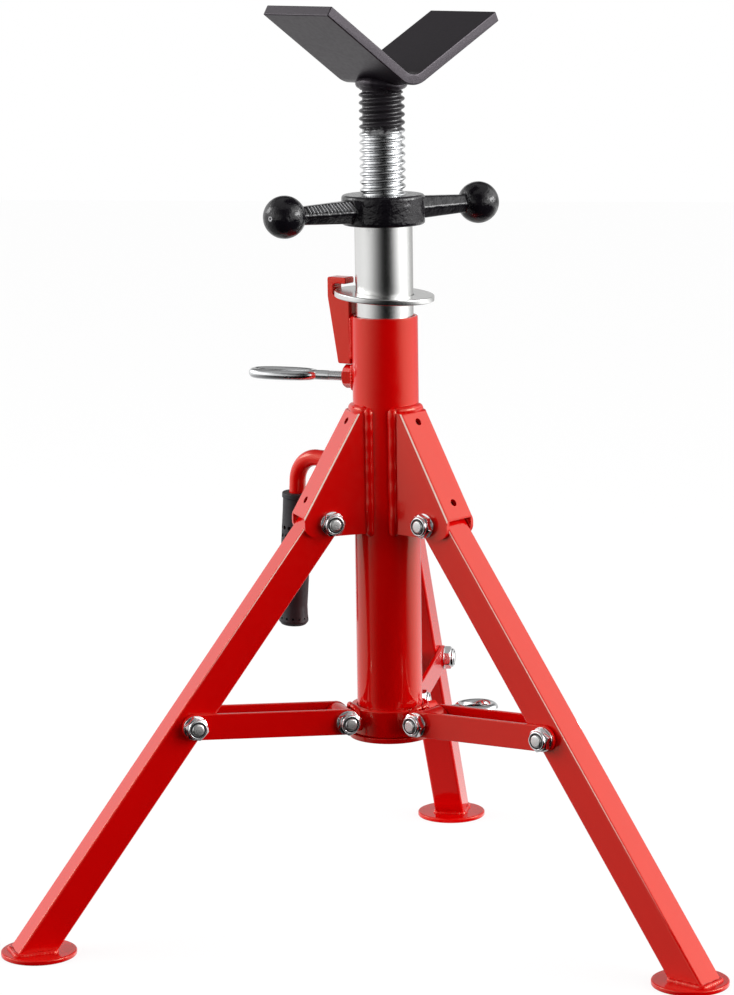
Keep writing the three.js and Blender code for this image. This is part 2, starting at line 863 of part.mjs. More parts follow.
// One leg with its bracket, links, bolts and foot at each of the three azimuths
for (const [where, azimuth] of Object.entries(legAzimuths)) {
  const side = nutSides[where];
  const bracketSeat = bracketOuter + seatGap;
  const barSeat = barOuter + seatGap;
  const atPivot = (body) => moved(body, [pivotRadius, 0, pivotHeight]);
  const atLinkEnd = (body) => moved(body, [linkEndRadius, 0, linkEndHeight]);
  const atCollar = (body) => moved(body, [collarPivotRadius, 0, collarPivotHeight]);

  add(`bracket_${where}`, azimuth, bracket(), "red");
  add(
    `pivot_bolt_${where}`,
    azimuth,
    atPivot(join(boltShank(side, bracketSeat), boltHead(side, bracketSeat))),
    "bright",
  );
  add(`pivot_nut_${where}`, azimuth, atPivot(lockNut(side, bracketSeat)), "bright");

  add(`leg_${where}`, azimuth, leg(), "red");
  add(`foot_${where}`, azimuth, foot(), "red");
  const innerShank = bar(boltRadius, [0, -legSize / 2, 0], [0, legSize / 2, 0]);
  add(`link_bolt_${where}`, azimuth, atLinkEnd(innerShank), "bright");

  add(`link_bar_near_${where}`, azimuth, linkBar(side), "red");
  add(`link_bar_far_${where}`, azimuth, linkBar(-side), "red");
  const headEnd = join(
    boltHead(side, barSeat),
    bar(boltRadius, [0, -side * barSeat, 0], [0, -side * barInner, 0]),
  );
  add(`link_bolt_head_${where}`, azimuth, atLinkEnd(headEnd), "bright");
  const nutEnd = join(
    lockNut(side, barSeat),
    bar(boltRadius, [0, side * barInner, 0], [0, side * (barSeat + nutStack() + boltEnd), 0]),
    bar(nutCollarRadius, [0, side * barSeat, 0], [0, side * (barSeat + washerThickness), 0]),
  );
  add(`link_nut_${where}`, azimuth, atLinkEnd(nutEnd), "bright");

  add(
    `collar_bolt_${where}`,
    azimuth,
    atCollar(join(boltShank(side, barSeat), boltHead(side, barSeat))),
    "bright",
  );
  add(`collar_nut_${where}`, azimuth, atCollar(lockNut(side, barSeat)), "bright");
}

// The collar and its clamp screw
add("collar", collarScrewAzimuth, collar(), "red");
add("collar_boss", collarScrewAzimuth, boss(collarRadius, collarScrewHeight()), "red");
add(
  "collar_screw",
  collarScrewAzimuth,
  eyeScrew(columnEnvelope, collarEye, collarScrewHeight()),
  "bright",
);

// The post, its lock ring and its clamp screw
add("inner_post", 0, ring(postRadius - postWall, postRadius, postTop - postLength, postTop), "steel");
add("lock_ring", hookAzimuth, lockRing(), "steel");
add("clamp_screw", clampAzimuth, eyeScrew(postRadius + seatGap, clampEye, clampHeight), "bright");

// The jack
add("spin_handle", spinAzimuth, spinHandle(), "gloss");
add("jack_screw", 0, jackScrew(), "bright");
add("v_head", troughAzimuth - quarterTurn, vHead(), "black");

const part = new THREE.Group();
part.add(stand);
export default part;
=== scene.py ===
"""Folding pipe jack stand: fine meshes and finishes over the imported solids, with lights and a camera."""
import math
import bmesh
import bpy
from mathutils import Matrix, Vector, geometry, noise


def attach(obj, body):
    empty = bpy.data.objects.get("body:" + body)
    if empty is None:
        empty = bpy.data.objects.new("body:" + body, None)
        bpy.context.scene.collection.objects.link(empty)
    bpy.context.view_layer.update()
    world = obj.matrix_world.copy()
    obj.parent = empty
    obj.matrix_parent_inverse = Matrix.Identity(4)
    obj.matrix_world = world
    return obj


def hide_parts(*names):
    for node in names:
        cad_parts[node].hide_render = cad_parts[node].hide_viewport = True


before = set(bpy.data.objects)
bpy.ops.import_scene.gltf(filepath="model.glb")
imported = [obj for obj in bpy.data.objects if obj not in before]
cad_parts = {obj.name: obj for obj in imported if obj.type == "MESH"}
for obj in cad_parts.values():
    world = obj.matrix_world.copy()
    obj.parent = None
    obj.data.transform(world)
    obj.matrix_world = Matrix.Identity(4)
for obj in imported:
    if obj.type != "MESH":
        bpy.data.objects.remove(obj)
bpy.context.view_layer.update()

MM = 0.001
TAU = 2 * math.pi

# Places of the spokes, in degrees about the column, the side of each spoke's nuts, and labels for pairs
LEGS = {"rear": 90, "left": 210, "right": 330}
NUT_SIDE = {"rear": -1, "left": 1, "right": -1}
HOOK_AT, CLAMP_AT, COLLAR_SCREW_AT, CARRY_AT, SPIN_AT, TROUGH_AT = 165.5, 168.5, 30, 150, 44.8, 145.5
SIDES = {"a": 1, "b": -1}

# Sections and fits, in millimetres as every size of a shape; SHARP is the edge of what cuts
GAP = 0.3
SHARP = 0.01
COLUMN_RADIUS, COLUMN_BORE = 25.4, 22.9
POST_RADIUS, POST_BORE, POST_LENGTH = 22.2, 19.7, 350
LEG_HALF, LEG_WALL = 12.5, 2
FOOT_RADIUS, FOOT_THICKNESS, FOOT_INSET = 29, 4, 4.3
BAR_INNER, BAR_OUTER = 12.8, 15.8
BRACKET_INNER, BRACKET_OUTER = 13, 16
BOLT_RADIUS, BOLT_BORE = 5, 5.4

# Linkage, each place given as (out, up) in the spoke's own plane
PIVOT = (50.5, 318.9)
LEG_ANGLE = math.radians(36.93)
LEG_OFFSET = 3
LINK_SLOPE = math.radians(3.5)
SPAN = 187.1
LINK_END = (PIVOT[0] + SPAN * math.sin(LEG_ANGLE), PIVOT[1] - SPAN * math.cos(LEG_ANGLE))
COLLAR_REACH = 40.3
LINK_LENGTH = (LINK_END[0] - COLLAR_REACH) / math.cos(LINK_SLOPE)
COLLAR_PIVOT = (COLLAR_REACH, LINK_END[1] - LINK_LENGTH * math.sin(LINK_SLOPE))
LEG_START = (PIVOT[0] + LEG_OFFSET * math.cos(LEG_ANGLE), PIVOT[1] + LEG_OFFSET * math.sin(LEG_ANGLE))
LEG_OUT = Vector((math.cos(LEG_ANGLE), 0, math.sin(LEG_ANGLE)))
FOOT_AT = LEG_START[0] + (LEG_START[1] - FOOT_THICKNESS - GAP) * math.tan(LEG_ANGLE) - FOOT_INSET
# The column stands back by this much, so that the outermost feet lie evenly about the origin
COLUMN_BACK = FOOT_AT / 4

# Heights up the column
COLUMN_FOOT = COLLAR_PIVOT[1] - 12.8
COLUMN_TOP = PIVOT[1] + 155.5
RING_Z = COLUMN_TOP + 15.4
POST_TOP = COLUMN_TOP + 73.5
HUB_HEIGHT, HUB_RECESS = 23, 4
HUB_FOOT = POST_TOP + GAP - HUB_RECESS
HUB_TOP = HUB_FOOT + HUB_HEIGHT
BALL_Z = HUB_FOOT + HUB_HEIGHT / 2 - GAP
SCREW_FOOT, SCREW_TOP = HUB_FOOT - 88, HUB_TOP + 81.5


def spoke(azimuth):
    """The frame of a spoke: x runs out from the column, z up, in metres."""
    return Matrix.Translation((0, -COLUMN_BACK * MM, 0)) @ Matrix.Rotation(math.radians(azimuth), 4, "Z")


def at(x, y, z):
    """A shift in millimetres, as a matrix in metres."""
    return Matrix.Translation((x * MM, y * MM, z * MM))


def pivot_at(pivot):
    """The place of an (out, up) point in a spoke."""
    return at(pivot[0], 0, pivot[1])


# Outlines

def rounded(corners, steps=6):
    """A closed outline whose corners (x, y, radius) are rounded by their own radii."""
    points = []
    for i, corner in enumerate(corners):
        here = Vector(corner[:2])
        radius = corner[2] if len(corner) > 2 else 0
        if not radius:
            points.append(here)
            continue
        back = (Vector(corners[i - 1][:2]) - here).normalized()
        ahead = (Vector(corners[(i + 1) % len(corners)][:2]) - here).normalized()
        half = math.acos(max(-1, min(1, back.dot(ahead)))) / 2
        if half > math.pi / 2 - 1e-3:
            points.append(here)
            continue
        centre = here + (back + ahead).normalized() * (radius / math.sin(half))
        start = here + back * (radius / math.tan(half)) - centre
        end = here + ahead * (radius / math.tan(half)) - centre
        turn = start.angle_signed(end)
        for k in range(steps + 1):
            a = -turn * k / steps
            c, s = math.cos(a), math.sin(a)
            points.append(centre + Vector((start.x * c - start.y * s, start.x * s + start.y * c)))
    return points


def oblong(left, right, half, radius, steps):
    """A rectangle from left to right with rounded corners."""
    return rounded([(left, -half, radius), (right, -half, radius),
                    (right, half, radius), (left, half, radius)], steps)


def circle(radius, count, x=0):
    """A circle of count points whose middle lies at x."""
    return [Vector((x + radius * math.cos(TAU * i / count), radius * math.sin(TAU * i / count)))
            for i in range(count)]


def inset(points, amount):
    """The outline moved inwards by amount, for a loop that turns anticlockwise."""
    nearer = []
    for i, here in enumerate(points):
        a = (here - points[i - 1]).normalized()
        b = (points[(i + 1) % len(points)] - here).normalized()
        mid = Vector((-a.y, a.x)) + Vector((-b.y, b.x))
        nearer.append(here + mid * (amount / max(0.3, mid.length_squared / 2)))
    return nearer


def turned(points, left=True):
    """The outline in the order that turns left, or right."""
    area = sum(a.x * b.y - b.x * a.y for a, b in zip(points, points[1:] + points[:1]))
    return points if (area > 0) == left else points[::-1]


# Meshes, in millimetres

def mesh_of(points, faces):
    mesh = bpy.data.meshes.new("m")
    mesh.from_pydata([tuple(p) for p in points], [], faces)
    return mesh


def moved(mesh, matrix):
    """A turned and moved copy of the mesh."""
    copy = mesh.copy()
    copy.transform(matrix)
    return copy


def up(z):
    """A lift inside a mesh."""
    return Matrix.Translation((0, 0, z))


def lathe(profile, count=96):
    """A profile of (radius, height) points, from axis to axis or closed, turned about z."""
    closed = profile[0][0] > 1e-6 or profile[-1][0] > 1e-6
    points, rows = [], []
    for r, z in profile:
        if r < 1e-6:
            rows.append([len(points)] * count)
            points.append((0, 0, z))
        else:
            rows.append(list(range(len(points), len(points) + count)))
            turns = [TAU * i / count for i in range(count)]
            points += [(r * math.cos(a), r * math.sin(a), z) for a in turns]
    if closed:
        rows.append(rows[0])
    faces = []
    for low, high in zip(rows, rows[1:]):
        for i in range(count):
            j = (i + 1) % count
            face = [low[i], low[j], high[j], high[i]]
            face = [v for k, v in enumerate(face) if v != face[k - 1]]
            if len(face) > 2:
                faces.append(face)
    return mesh_of(points, faces)


def ring(inner, outer, foot, top, edge, count=96, inner_edge=0.4):
    """A tube about z, its edges rounded."""
    return lathe(rounded([(inner, foot, inner_edge), (outer, foot, edge), (outer, top, edge),
                          (inner, top, inner_edge)], 4), count)


def disc(radius, foot, top, edge, count):
    """A round bar about z, its edges rounded."""
    return lathe(rounded([(0, foot), (radius, foot, edge), (radius, top, edge), (0, top)], 4), count)


def plate(outline, low, high, edge, holes=(), steps=3):
    """A plate with rounded edges from an outline and round holes, from z = low to high."""
    outer = turned(list(outline))
    inner = [turned(list(h), False) for h in holes]
    points, rows, faces = [], [], []
    for k in range(steps + 1):
        a = math.pi / 2 * k / steps
        rows.append((edge * (1 - math.sin(a)), low + edge * (1 - math.cos(a))))
    rows += [(amount, high - (z - low)) for amount, z in reversed(rows)]
    for loop in [outer] + inner:
        base = len(points)
        size = len(loop)
        for amount, z in rows:
            points += [(p.x, p.y, z) for p in inset(loop, amount)]
        for level in range(len(rows) - 1):
            for i in range(size):
                a, b = base + level * size + i, base + level * size + (i + 1) % size
                faces.append((a, b, b + size, a + size))
    for level, flip in ((0, True), (len(rows) - 1, False)):
        loops, index, base = [], [], 0
        for loop in [outer] + inner:
            start = base + level * len(loop)
            index += range(start, start + len(loop))
            loops.append([Vector((points[i][0], points[i][1], 0)) for i in range(start, start + len(loop))])
            base += len(rows) * len(loop)
        for face in geometry.tessellate_polygon(loops):
            ids = [index[i] for i in face]
            p = [points[i] for i in ids]
            area = (p[1][0] - p[0][0]) * (p[2][1] - p[0][1]) - (p[2][0] - p[0][0]) * (p[1][1] - p[0][1])
            faces.append(ids[::-1] if (area < 0) != flip else ids)
    return mesh_of(points, faces)


def sweep(path, radius, count, closed=False):
    """A round section swept along a path of points; radius may be a function of (index, angle)."""
    size = len(path)
    size_of = radius if callable(radius) else (lambda i, a: radius)
    tangents = []
    for i in range(size):
        ahead = path[(i + 1) % size] if closed or i < size - 1 else path[i]
        back = path[i - 1] if closed or i else path[i]
        tangents.append((ahead - back).normalized())
    side = tangents[0].orthogonal().normalized()
    sides = []
    for t in tangents:
        side = (side - t * side.dot(t)).normalized()
        sides.append(side)
    twist = 0
    if closed:
        end = (sides[-1] - tangents[0] * sides[-1].dot(tangents[0])).normalized()
        twist = math.atan2(tangents[0].dot(end.cross(sides[0])), end.dot(sides[0]))
    points, faces = [], []
    for i in range(size):
        u = sides[i]
        w = tangents[i].cross(u)
        for k in range(count):
            a = TAU * k / count + twist * i / size
            points.append(path[i] + (u * math.cos(a) + w * math.sin(a)) * size_of(i, a))
    for i in range(size if closed else size - 1):
        j = (i + 1) % size
        for k in range(count):
            n = (k + 1) % count
            faces.append((i * count + k, i * count + n, j * count + n, j * count + k))
    if not closed:
        faces.append(tuple(range(count))[::-1])
        faces.append(tuple(range((size - 1) * count, size * count)))
    return mesh_of(points, faces)


def even(path, step, closed):
    """The path resampled at an even step."""
    line = path + path[:1] if closed else path
    lengths = [(b - a).length for a, b in zip(line, line[1:])]
    count = max(2, round(sum(lengths) / step))
    out, run, i = [], 0, 0
    for k in range(count if closed else count + 1):
        want = sum(lengths) * k / count
        while i < len(lengths) - 1 and run + lengths[i] < want:
            run += lengths[i]
            i += 1
        out.append(line[i].lerp(line[i + 1], min(1, (want - run) / max(1e-9, lengths[i]))))
    return out


def weld(path, size, closed=False, ripple=0.10, seed=0.0, swells=0.16):
    """A weld bead along a path: a round rib with slow swells, fine ripples and rounded ends."""
    step, ripple_length = 0.28, 1.24
    line = even([Vector(p) for p in path], size * step, closed)
    last = len(line) - 1

    def radius(i, a):
        swell = 1 + swells * noise.noise(Vector((i * 0.11, seed, 0.3)))
        rough = noise.noise(Vector((i * 0.5, math.cos(a) * 2 + seed, math.sin(a) * 2)))
        wave = 1 + ripple * (math.sin(i * step / ripple_length * TAU + seed) + 0.5 * rough)
        reach = 1 if closed else min(1, min(i, last - i) * step)
        return size * swell * wave * math.sqrt(max(0.02, 1 - (1 - reach) ** 2))

    return sweep(line, radius, 14, closed)


def thread_mesh(root, crest, pitch, foot, top, steps, profile):
    """A threaded bar about z, closed at both ends, where the thread fades out.

    profile gives (share of the pitch, share of the thread's height) over one turn."""
    per_turn = len(profile) - 1
    levels = math.ceil((top - foot) / pitch) + 2
    fade = pitch * 0.35
    rows = [((level - 1 + share) * pitch + foot, h) for level in range(levels) for share, h in profile[:-1]]
    points, faces = [], []
    for z, h in rows:
        for i in range(steps):
            a = TAU * i / steps
            clipped = min(top, max(foot, z + pitch * i / steps))
            near = min(top - clipped, clipped - foot)
            r = root + (crest - root) * h * min(1, near / fade)
            points.append((r * math.cos(a), r * math.sin(a), clipped))
    for level in range(len(rows) - 1):
        for i in range(steps):
            # The last step of a turn meets the first one a pitch higher
            a = level * steps + i
            b = a + 1 if i < steps - 1 else (level + per_turn) * steps
            if b + steps < len(points):
                faces.append((a, b, b + steps, a + steps))
    mesh = mesh_of(points, faces)
    bm = bmesh.new()
    bm.from_mesh(mesh)
    bmesh.ops.remove_doubles(bm, verts=bm.verts, dist=1e-4)
    bmesh.ops.dissolve_degenerate(bm, edges=bm.edges, dist=1e-5)
    open_edges = [e for e in bm.edges if len(e.link_faces) == 1]
    bmesh.ops.holes_fill(bm, edges=open_edges, sides=0)
    bm.to_mesh(mesh)
    bm.free()
    return mesh


def joined(*meshes):
    """Several meshes as one mesh of separate shells."""
    bm = bmesh.new()
    for mesh in meshes:
        bm.from_mesh(mesh)
    out = bpy.data.meshes.new("m")
    bm.to_mesh(out)
    bm.free()
    return out


def evaluated(mesh, *modifiers):
    """The mesh after modifiers, each (type, settings)."""
    host = bpy.data.objects.new("host", mesh)
    bpy.context.scene.collection.objects.link(host)
    for kind, settings in modifiers:
        mod = host.modifiers.new(kind, kind)
        for key, value in settings.items():
            setattr(mod, key, value)
    bpy.context.view_layer.update()
    result = bpy.data.meshes.new_from_object(host.evaluated_get(bpy.context.evaluated_depsgraph_get()))
    bpy.data.objects.remove(host)
    return result


def boolean(mesh, operation, *tools):
    """The mesh joined with, cut by or kept inside other meshes."""
    helpers = [bpy.data.objects.new("tool", tool) for tool in tools]
    for helper in helpers:
        bpy.context.scene.collection.objects.link(helper)
    result = evaluated(mesh, *[("BOOLEAN", {"operation": operation, "solver": "EXACT", "object": helper})
                               for helper in helpers])
    for helper in helpers:
        bpy.data.objects.remove(helper)
    return result


def softened(mesh, width, segments, angle):
    """The mesh with its edges rounded where they turn by more than angle, in degrees."""
    return evaluated(mesh, ("BEVEL", {
        "width": width, "segments": segments, "limit_method": "ANGLE", "angle_limit": math.radians(angle),
        "use_clamp_overlap": True, "miter_outer": "MITER_ARC"}))


# Directions that turn a plate or a lathe into a spoke's plane
SIDEWAYS = Matrix.Rotation(math.pi / 2, 4, "X")
OUTWARD = Matrix.Rotation(math.pi / 2, 4, "Y")


def side_plate(outline, low, high, edge, holes=()):
    """A plate drawn with x out and y up, between two sideways places."""
    return moved(plate(outline, -high, -low, edge, holes), SIDEWAYS)


def column_core(low, high):
    """A cutter just inside the column's face, for what ends on it."""
    return disc(COLUMN_RADIUS - 0.1, low, high, SHARP, 96)


looks = {}


def add(name, mesh, body, look, place, replaces=(), smooth=32, highlight_at=(), highlight_look="painted_highlight_red"):
    """A finished piece in metres, riding on a body and standing for CAD nodes.

    The corner directions say where bent corners face. Faces turned that way take a second, paler red, which
    is a painted highlight for the light those corners catch."""
    mesh = moved(moved(mesh, Matrix.Scale(MM, 4)), place)
    bm = bmesh.new()
    bm.from_mesh(mesh)
    bmesh.ops.remove_doubles(bm, verts=bm.verts, dist=1e-7)
    bmesh.ops.recalc_face_normals(bm, faces=bm.faces)
    for face in bm.faces:
        face.smooth = True
    for edge in bm.edges:
        if len(edge.link_faces) == 2 and edge.calc_face_angle(0) > math.radians(smooth):
            edge.smooth = False
    bm.to_mesh(mesh)
    bm.free()
    # Broad flat faces keep their own direction, so that only the rounded edges turn the light
    finished = evaluated(mesh, ("WEIGHTED_NORMAL", {"keep_sharp": True, "weight": 100}))
    finished.name = name
    finished.materials.clear()
    finished.materials.append(looks[look][0])
    # Faces of the bent corners take the paler red: a painted highlight
    if highlight_at:
        finished.materials.append(looks[highlight_look][0])
        facing = [(place.to_3x3() @ way).normalized() for way in highlight_at]
        within = math.cos(math.radians(10))
        for face in finished.polygons:
            if any(face.normal.dot(way) > within for way in facing):
                face.material_index = 1
    obj = bpy.data.objects.new(name, finished)
    bpy.context.scene.collection.objects.link(obj)
    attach(obj, body)
    if replaces:
        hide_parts(*replaces)


# Finishes

def connect(tree, node, inputs):
    """Sets a node's inputs, by name or number, to values or to the outputs of other nodes."""
    for key, value in inputs.items():
        if isinstance(value, bpy.types.NodeSocket):
            tree.links.new(value, node.inputs[key])
        else:
            node.inputs[key].default_value = value


def new_node(tree, kind, inputs, **settings):
    """A new shader node with its own settings and its inputs."""
    node = tree.nodes.new("ShaderNode" + kind)
    for key, value in settings.items():
        setattr(node, key, value)
    connect(tree, node, inputs)
    return node


def material(name, slot, colour, roughness, grain, bumps, shade, metallic=0.0, specular=0.5, tint=(1, 1, 1)):
    """A procedural finish: colour with slow variation, roughness from noise and layered bumps.

    grain is (scale in mm, low, high) for roughness, shade the share by which the colour varies;
    bumps are (scale in mm, height in mm, detail) layers."""
    mat = bpy.data.materials.new(name)
    mat.use_nodes = True
    tree = mat.node_tree
    where = new_node(tree, "TexCoord", {}).outputs["Object"]

    def noise_at(scale, detail):
        inputs = {"Scale": 1 / (scale * MM), "Detail": detail, "Vector": where}
        return new_node(tree, "TexNoise", inputs).outputs["Fac"]

    shader = tree.nodes["Principled BSDF"]
    connect(tree, shader, {
        "Base Color": (*colour, 1), "Roughness": roughness, "Metallic": metallic,
        "Specular IOR Level": specular, "Specular Tint": (*tint, 1), "IOR": 1.5})
    mixed = new_node(tree, "Mix", {
        "A": (*[c * (1 - shade) for c in colour], 1), "B": (*[min(1, c * (1 + shade)) for c in colour], 1),
        "Factor": noise_at(22, 3)}, data_type="RGBA")
    grain_scale, low, high = grain
    rough = new_node(tree, "MapRange", {
        "From Min": 0.3, "From Max": 0.7, "To Min": low, "To Max": high, "Value": noise_at(grain_scale, 4)})
    connect(tree, shader, {"Base Color": mixed.outputs["Result"], "Roughness": rough.outputs["Result"]})
    under = {}
    for scale, height, detail in bumps:
        bump = new_node(tree, "Bump", {"Distance": height * MM, "Height": noise_at(scale, detail), **under})
        under = {"Normal": bump.outputs["Normal"]}
    connect(tree, shader, under)
    looks[name] = (mat, slot)


RED = {"colour": (0.66, 0.001, 0.0012), "roughness": 0.12, "grain": (6, 0.09, 0.15), "shade": 0.04,
       "specular": 0.6, "tint": (1.0, 0.92, 0.66)}
material("red", "red_paint", bumps=((3.2, 0.012, 2), (0.7, 0.0015, 1)), **RED)
# Copies of the red for the bent corners, which paint_above below makes paler: painted highlights
for name in ("painted_highlight_red", "painted_highlight_red_low"):
    material(name, "red_paint", bumps=((3.2, 0.012, 2),), **RED)
material("satin_black", "satin_black", (0.0122, 0.0096, 0.013), 0.32, grain=(3, 0.28, 0.37),
         bumps=((0.9, 0.008, 2),), shade=0.12, specular=0.6, tint=(1, 0.9, 1))
material("gloss_black", "gloss_black", (0.006, 0.005, 0.007), 0.14, grain=(4, 0.08, 0.2),
         bumps=((6.0, 0.6, 3), (1.7, 0.16, 2)), shade=0.1, specular=0.52)
material("nylon", "rubber", (0.02, 0.021, 0.023), 0.5, grain=(0.8, 0.4, 0.6),
         bumps=((0.6, 0.01, 1),), shade=0.1)
material("rubber", "rubber", (0.0185, 0.0172, 0.021), 0.55, grain=(2.5, 0.45, 0.62),
         bumps=((1.1, 0.03, 3), (8, 0.25, 1)), shade=0.15)

# Bare and plated metals: slot, colour, roughness, grain, bump and shade
METALS = {
    "fastener": ("zinc", (0.88, 0.88, 0.89), 0.2, (1.5, 0.12, 0.26), (1.4, 0.02, 2), 0.05),
    "ground_iron": ("gloss_black", (0.42, 0.42, 0.43), 0.36, (0.8, 0.28, 0.5), (0.8, 0.06, 2), 0.3),
    "bolt_end": ("steel", (0.8, 0.8, 0.79), 0.36, (0.9, 0.24, 0.44), (0.9, 0.05, 2), 0.15),
    "zinc": ("zinc", (0.74, 0.75, 0.76), 0.2, (1.5, 0.12, 0.28), (1.2, 0.008, 2), 0.05),
    "steel": ("steel", (0.76, 0.76, 0.75), 0.2, (0.8, 0.15, 0.26), (0.5, 0.006, 2), 0.04),
    "screw": ("zinc", (0.72, 0.73, 0.74), 0.22, (1.5, 0.16, 0.26), (1.1, 0.01, 2), 0.05)}
for name, (slot, colour, roughness, grain, bump, shade) in METALS.items():
    material(name, slot, colour, roughness, grain, (bump,), shade, metallic=1.0)


def paint_above(name, start, blur, colour, wander=0.0):
    """Another colour from the height start upwards, in metres, blurred upwards and with a wandering edge."""
    tree = looks[name][0].node_tree
    shader = tree.nodes["Principled BSDF"]
    spot = new_node(tree, "TexCoord", {}).outputs["Object"]
    height = new_node(tree, "SeparateXYZ", {0: spot}).outputs["Z"]
    mist = new_node(tree, "TexNoise", {"Scale": 220, "Vector": spot}).outputs["Fac"]
    drift = new_node(tree, "Math", {0: mist, 1: wander, 2: height}, operation="MULTIPLY_ADD").outputs[0]
    edge = start + wander / 2
    painted = new_node(tree, "MapRange", {"From Min": edge, "From Max": edge + blur, "Value": drift})
    covered = painted.outputs["Result"]
    below = shader.inputs["Base Color"].links[0].from_socket
    blend = new_node(tree, "Mix", {"A": below, "B": (*colour, 1), "Factor": covered}, data_type="RGBA")
    connect(tree, shader, {"Base Color": blend.outputs["Result"]})
    return covered


# Painted highlights on the bent corners: the red turns paler from a given height upwards, standing in for the
# light that the corners catch
paint_above("painted_highlight_red", 0.19, 0.1, (1.0, 0.74, 0.66))
paint_above("painted_highlight_red_low", 0.04, 0.1, (1.0, 0.66, 0.58))

# The black paint of the V head runs on down the top of the screw, and the metal below it is bare
covered = paint_above("screw", 0.6125, 0.004, (0.02, 0.0175, 0.0205), 0.012)
tree = looks["screw"][0].node_tree
bare = new_node(tree, "Math", {0: 1, 1: covered}, operation="SUBTRACT")
connect(tree, tree.nodes["Principled BSDF"], {"Metallic": bare.outputs[0]})

# Column, stop flange, post and lock ring
FLANGE_RADIUS, FLANGE_THICKNESS = 32, 4
RING_BORE, RING_RADIUS, RING_HALF, RING_TILT = 22.7, 38.35, 2.25, math.radians(4)
column = spoke(0)
add("fine_outer_tube", ring(COLUMN_BORE, COLUMN_RADIUS, COLUMN_FOOT, COLUMN_TOP, 0.9),
    "column", "red", column, ["outer_tube"])
flange_top = COLUMN_FOOT - GAP
add("fine_stop_flange", ring(COLUMN_BORE, FLANGE_RADIUS, flange_top - FLANGE_THICKNESS, flange_top, 0.6),
    "column", "red", column, ["stop_flange"])
add("fine_inner_post", ring(POST_BORE, POST_RADIUS, POST_TOP - POST_LENGTH, POST_TOP, 0.8),
    "inner_post", "steel", column, ["inner_post"])
ring_place = spoke(HOOK_AT) @ at(0, 0, RING_Z) @ Matrix.Rotation(-RING_TILT, 4, "Y")
add("fine_lock_ring", ring(RING_BORE, RING_RADIUS, -RING_HALF, RING_HALF, 0.9),
    "lock_ring", "steel", ring_place, ["lock_ring"])

# Gusset brackets: a channel bent from plate, open inwards, closed by weld at the shoulder
BRACKET_REACH, BRACKET_FOOT, BRACKET_TOP = 72.4, 309, 405.5
TOE_Z, SHOULDER = 325.3, (28.4, 401.8)
WEB_LEAN = math.atan2(BRACKET_REACH - SHOULDER[0], SHOULDER[1] - TOE_Z)
WEB_OUT = Vector((math.cos(WEB_LEAN), 0, math.sin(WEB_LEAN)))
WEB_DOWN = Vector((math.sin(WEB_LEAN), 0, -math.cos(WEB_LEAN)))
WEB_HOLES, WEB_HOLE_RADIUS = (395, 336), 2.9


def corners_beside(face):
    """The directions of the two bent corners beside a face, from the direction that the face looks in."""
    return [(face + Vector((0, side, 0))).normalized() for side in SIDES.values()]


def bracket():
    """A channel along the sloping web, kept inside the side outline and cut to the column."""
    wall, bend, depth, length, past_toe = BRACKET_OUTER - BRACKET_INNER, 3.2, 75, 230, 60
    web_length = (SHOULDER[1] - TOE_Z) / math.cos(WEB_LEAN)
    channel = rounded([(0, -BRACKET_OUTER, bend), (0, BRACKET_OUTER, bend),
                       (-depth, BRACKET_OUTER), (-depth, -BRACKET_OUTER)], 8)
    hollow = rounded([(-wall, -BRACKET_INNER, 1), (-wall, BRACKET_INNER, 1),
                      (-depth - 15, BRACKET_INNER), (-depth - 15, -BRACKET_INNER)], 4)
    along_web = (Matrix.Translation(Vector((BRACKET_REACH, 0, TOE_Z)) + WEB_DOWN * past_toe)
                 @ Matrix((WEB_OUT, (0, 1, 0), -WEB_DOWN)).transposed().to_4x4())
    block = moved(plate(channel, 0, length, SHARP, steps=1), along_web)
    inside = moved(plate(hollow, -10, past_toe + web_length - 4, SHARP, steps=1), along_web)
    side = side_plate(rounded([
        (10, BRACKET_FOOT), (BRACKET_REACH, BRACKET_FOOT, 9), (BRACKET_REACH, TOE_Z, 0.5), (*SHOULDER, 3),
        (10, BRACKET_TOP)], 8), -20, 20, SHARP)
    mouth = side_plate(rounded([
        (0, BRACKET_FOOT - 5), (BRACKET_REACH + 9, BRACKET_FOOT - 5), (BRACKET_REACH + 9, TOE_Z - 1.5),
        (BRACKET_REACH - 4, TOE_Z - 1.5), (0, TOE_Z + 12)]), -BRACKET_INNER, BRACKET_INNER, SHARP)
    drills = []
    for z in WEB_HOLES:
        x = BRACKET_REACH - (z - TOE_Z) * math.tan(WEB_LEAN)
        across_web = Matrix.Translation((x, 0, z)) @ Matrix.Rotation(math.pi / 2 - WEB_LEAN, 4, "Y")
        drills.append(moved(disc(WEB_HOLE_RADIUS, -8, 8, SHARP, 24), across_web))
    shell = boolean(block, "INTERSECT", side)
    shell = boolean(shell, "DIFFERENCE", inside, mouth, column_core(280, 430), *drills)
    return softened(shell, 0.55, 3, 40)


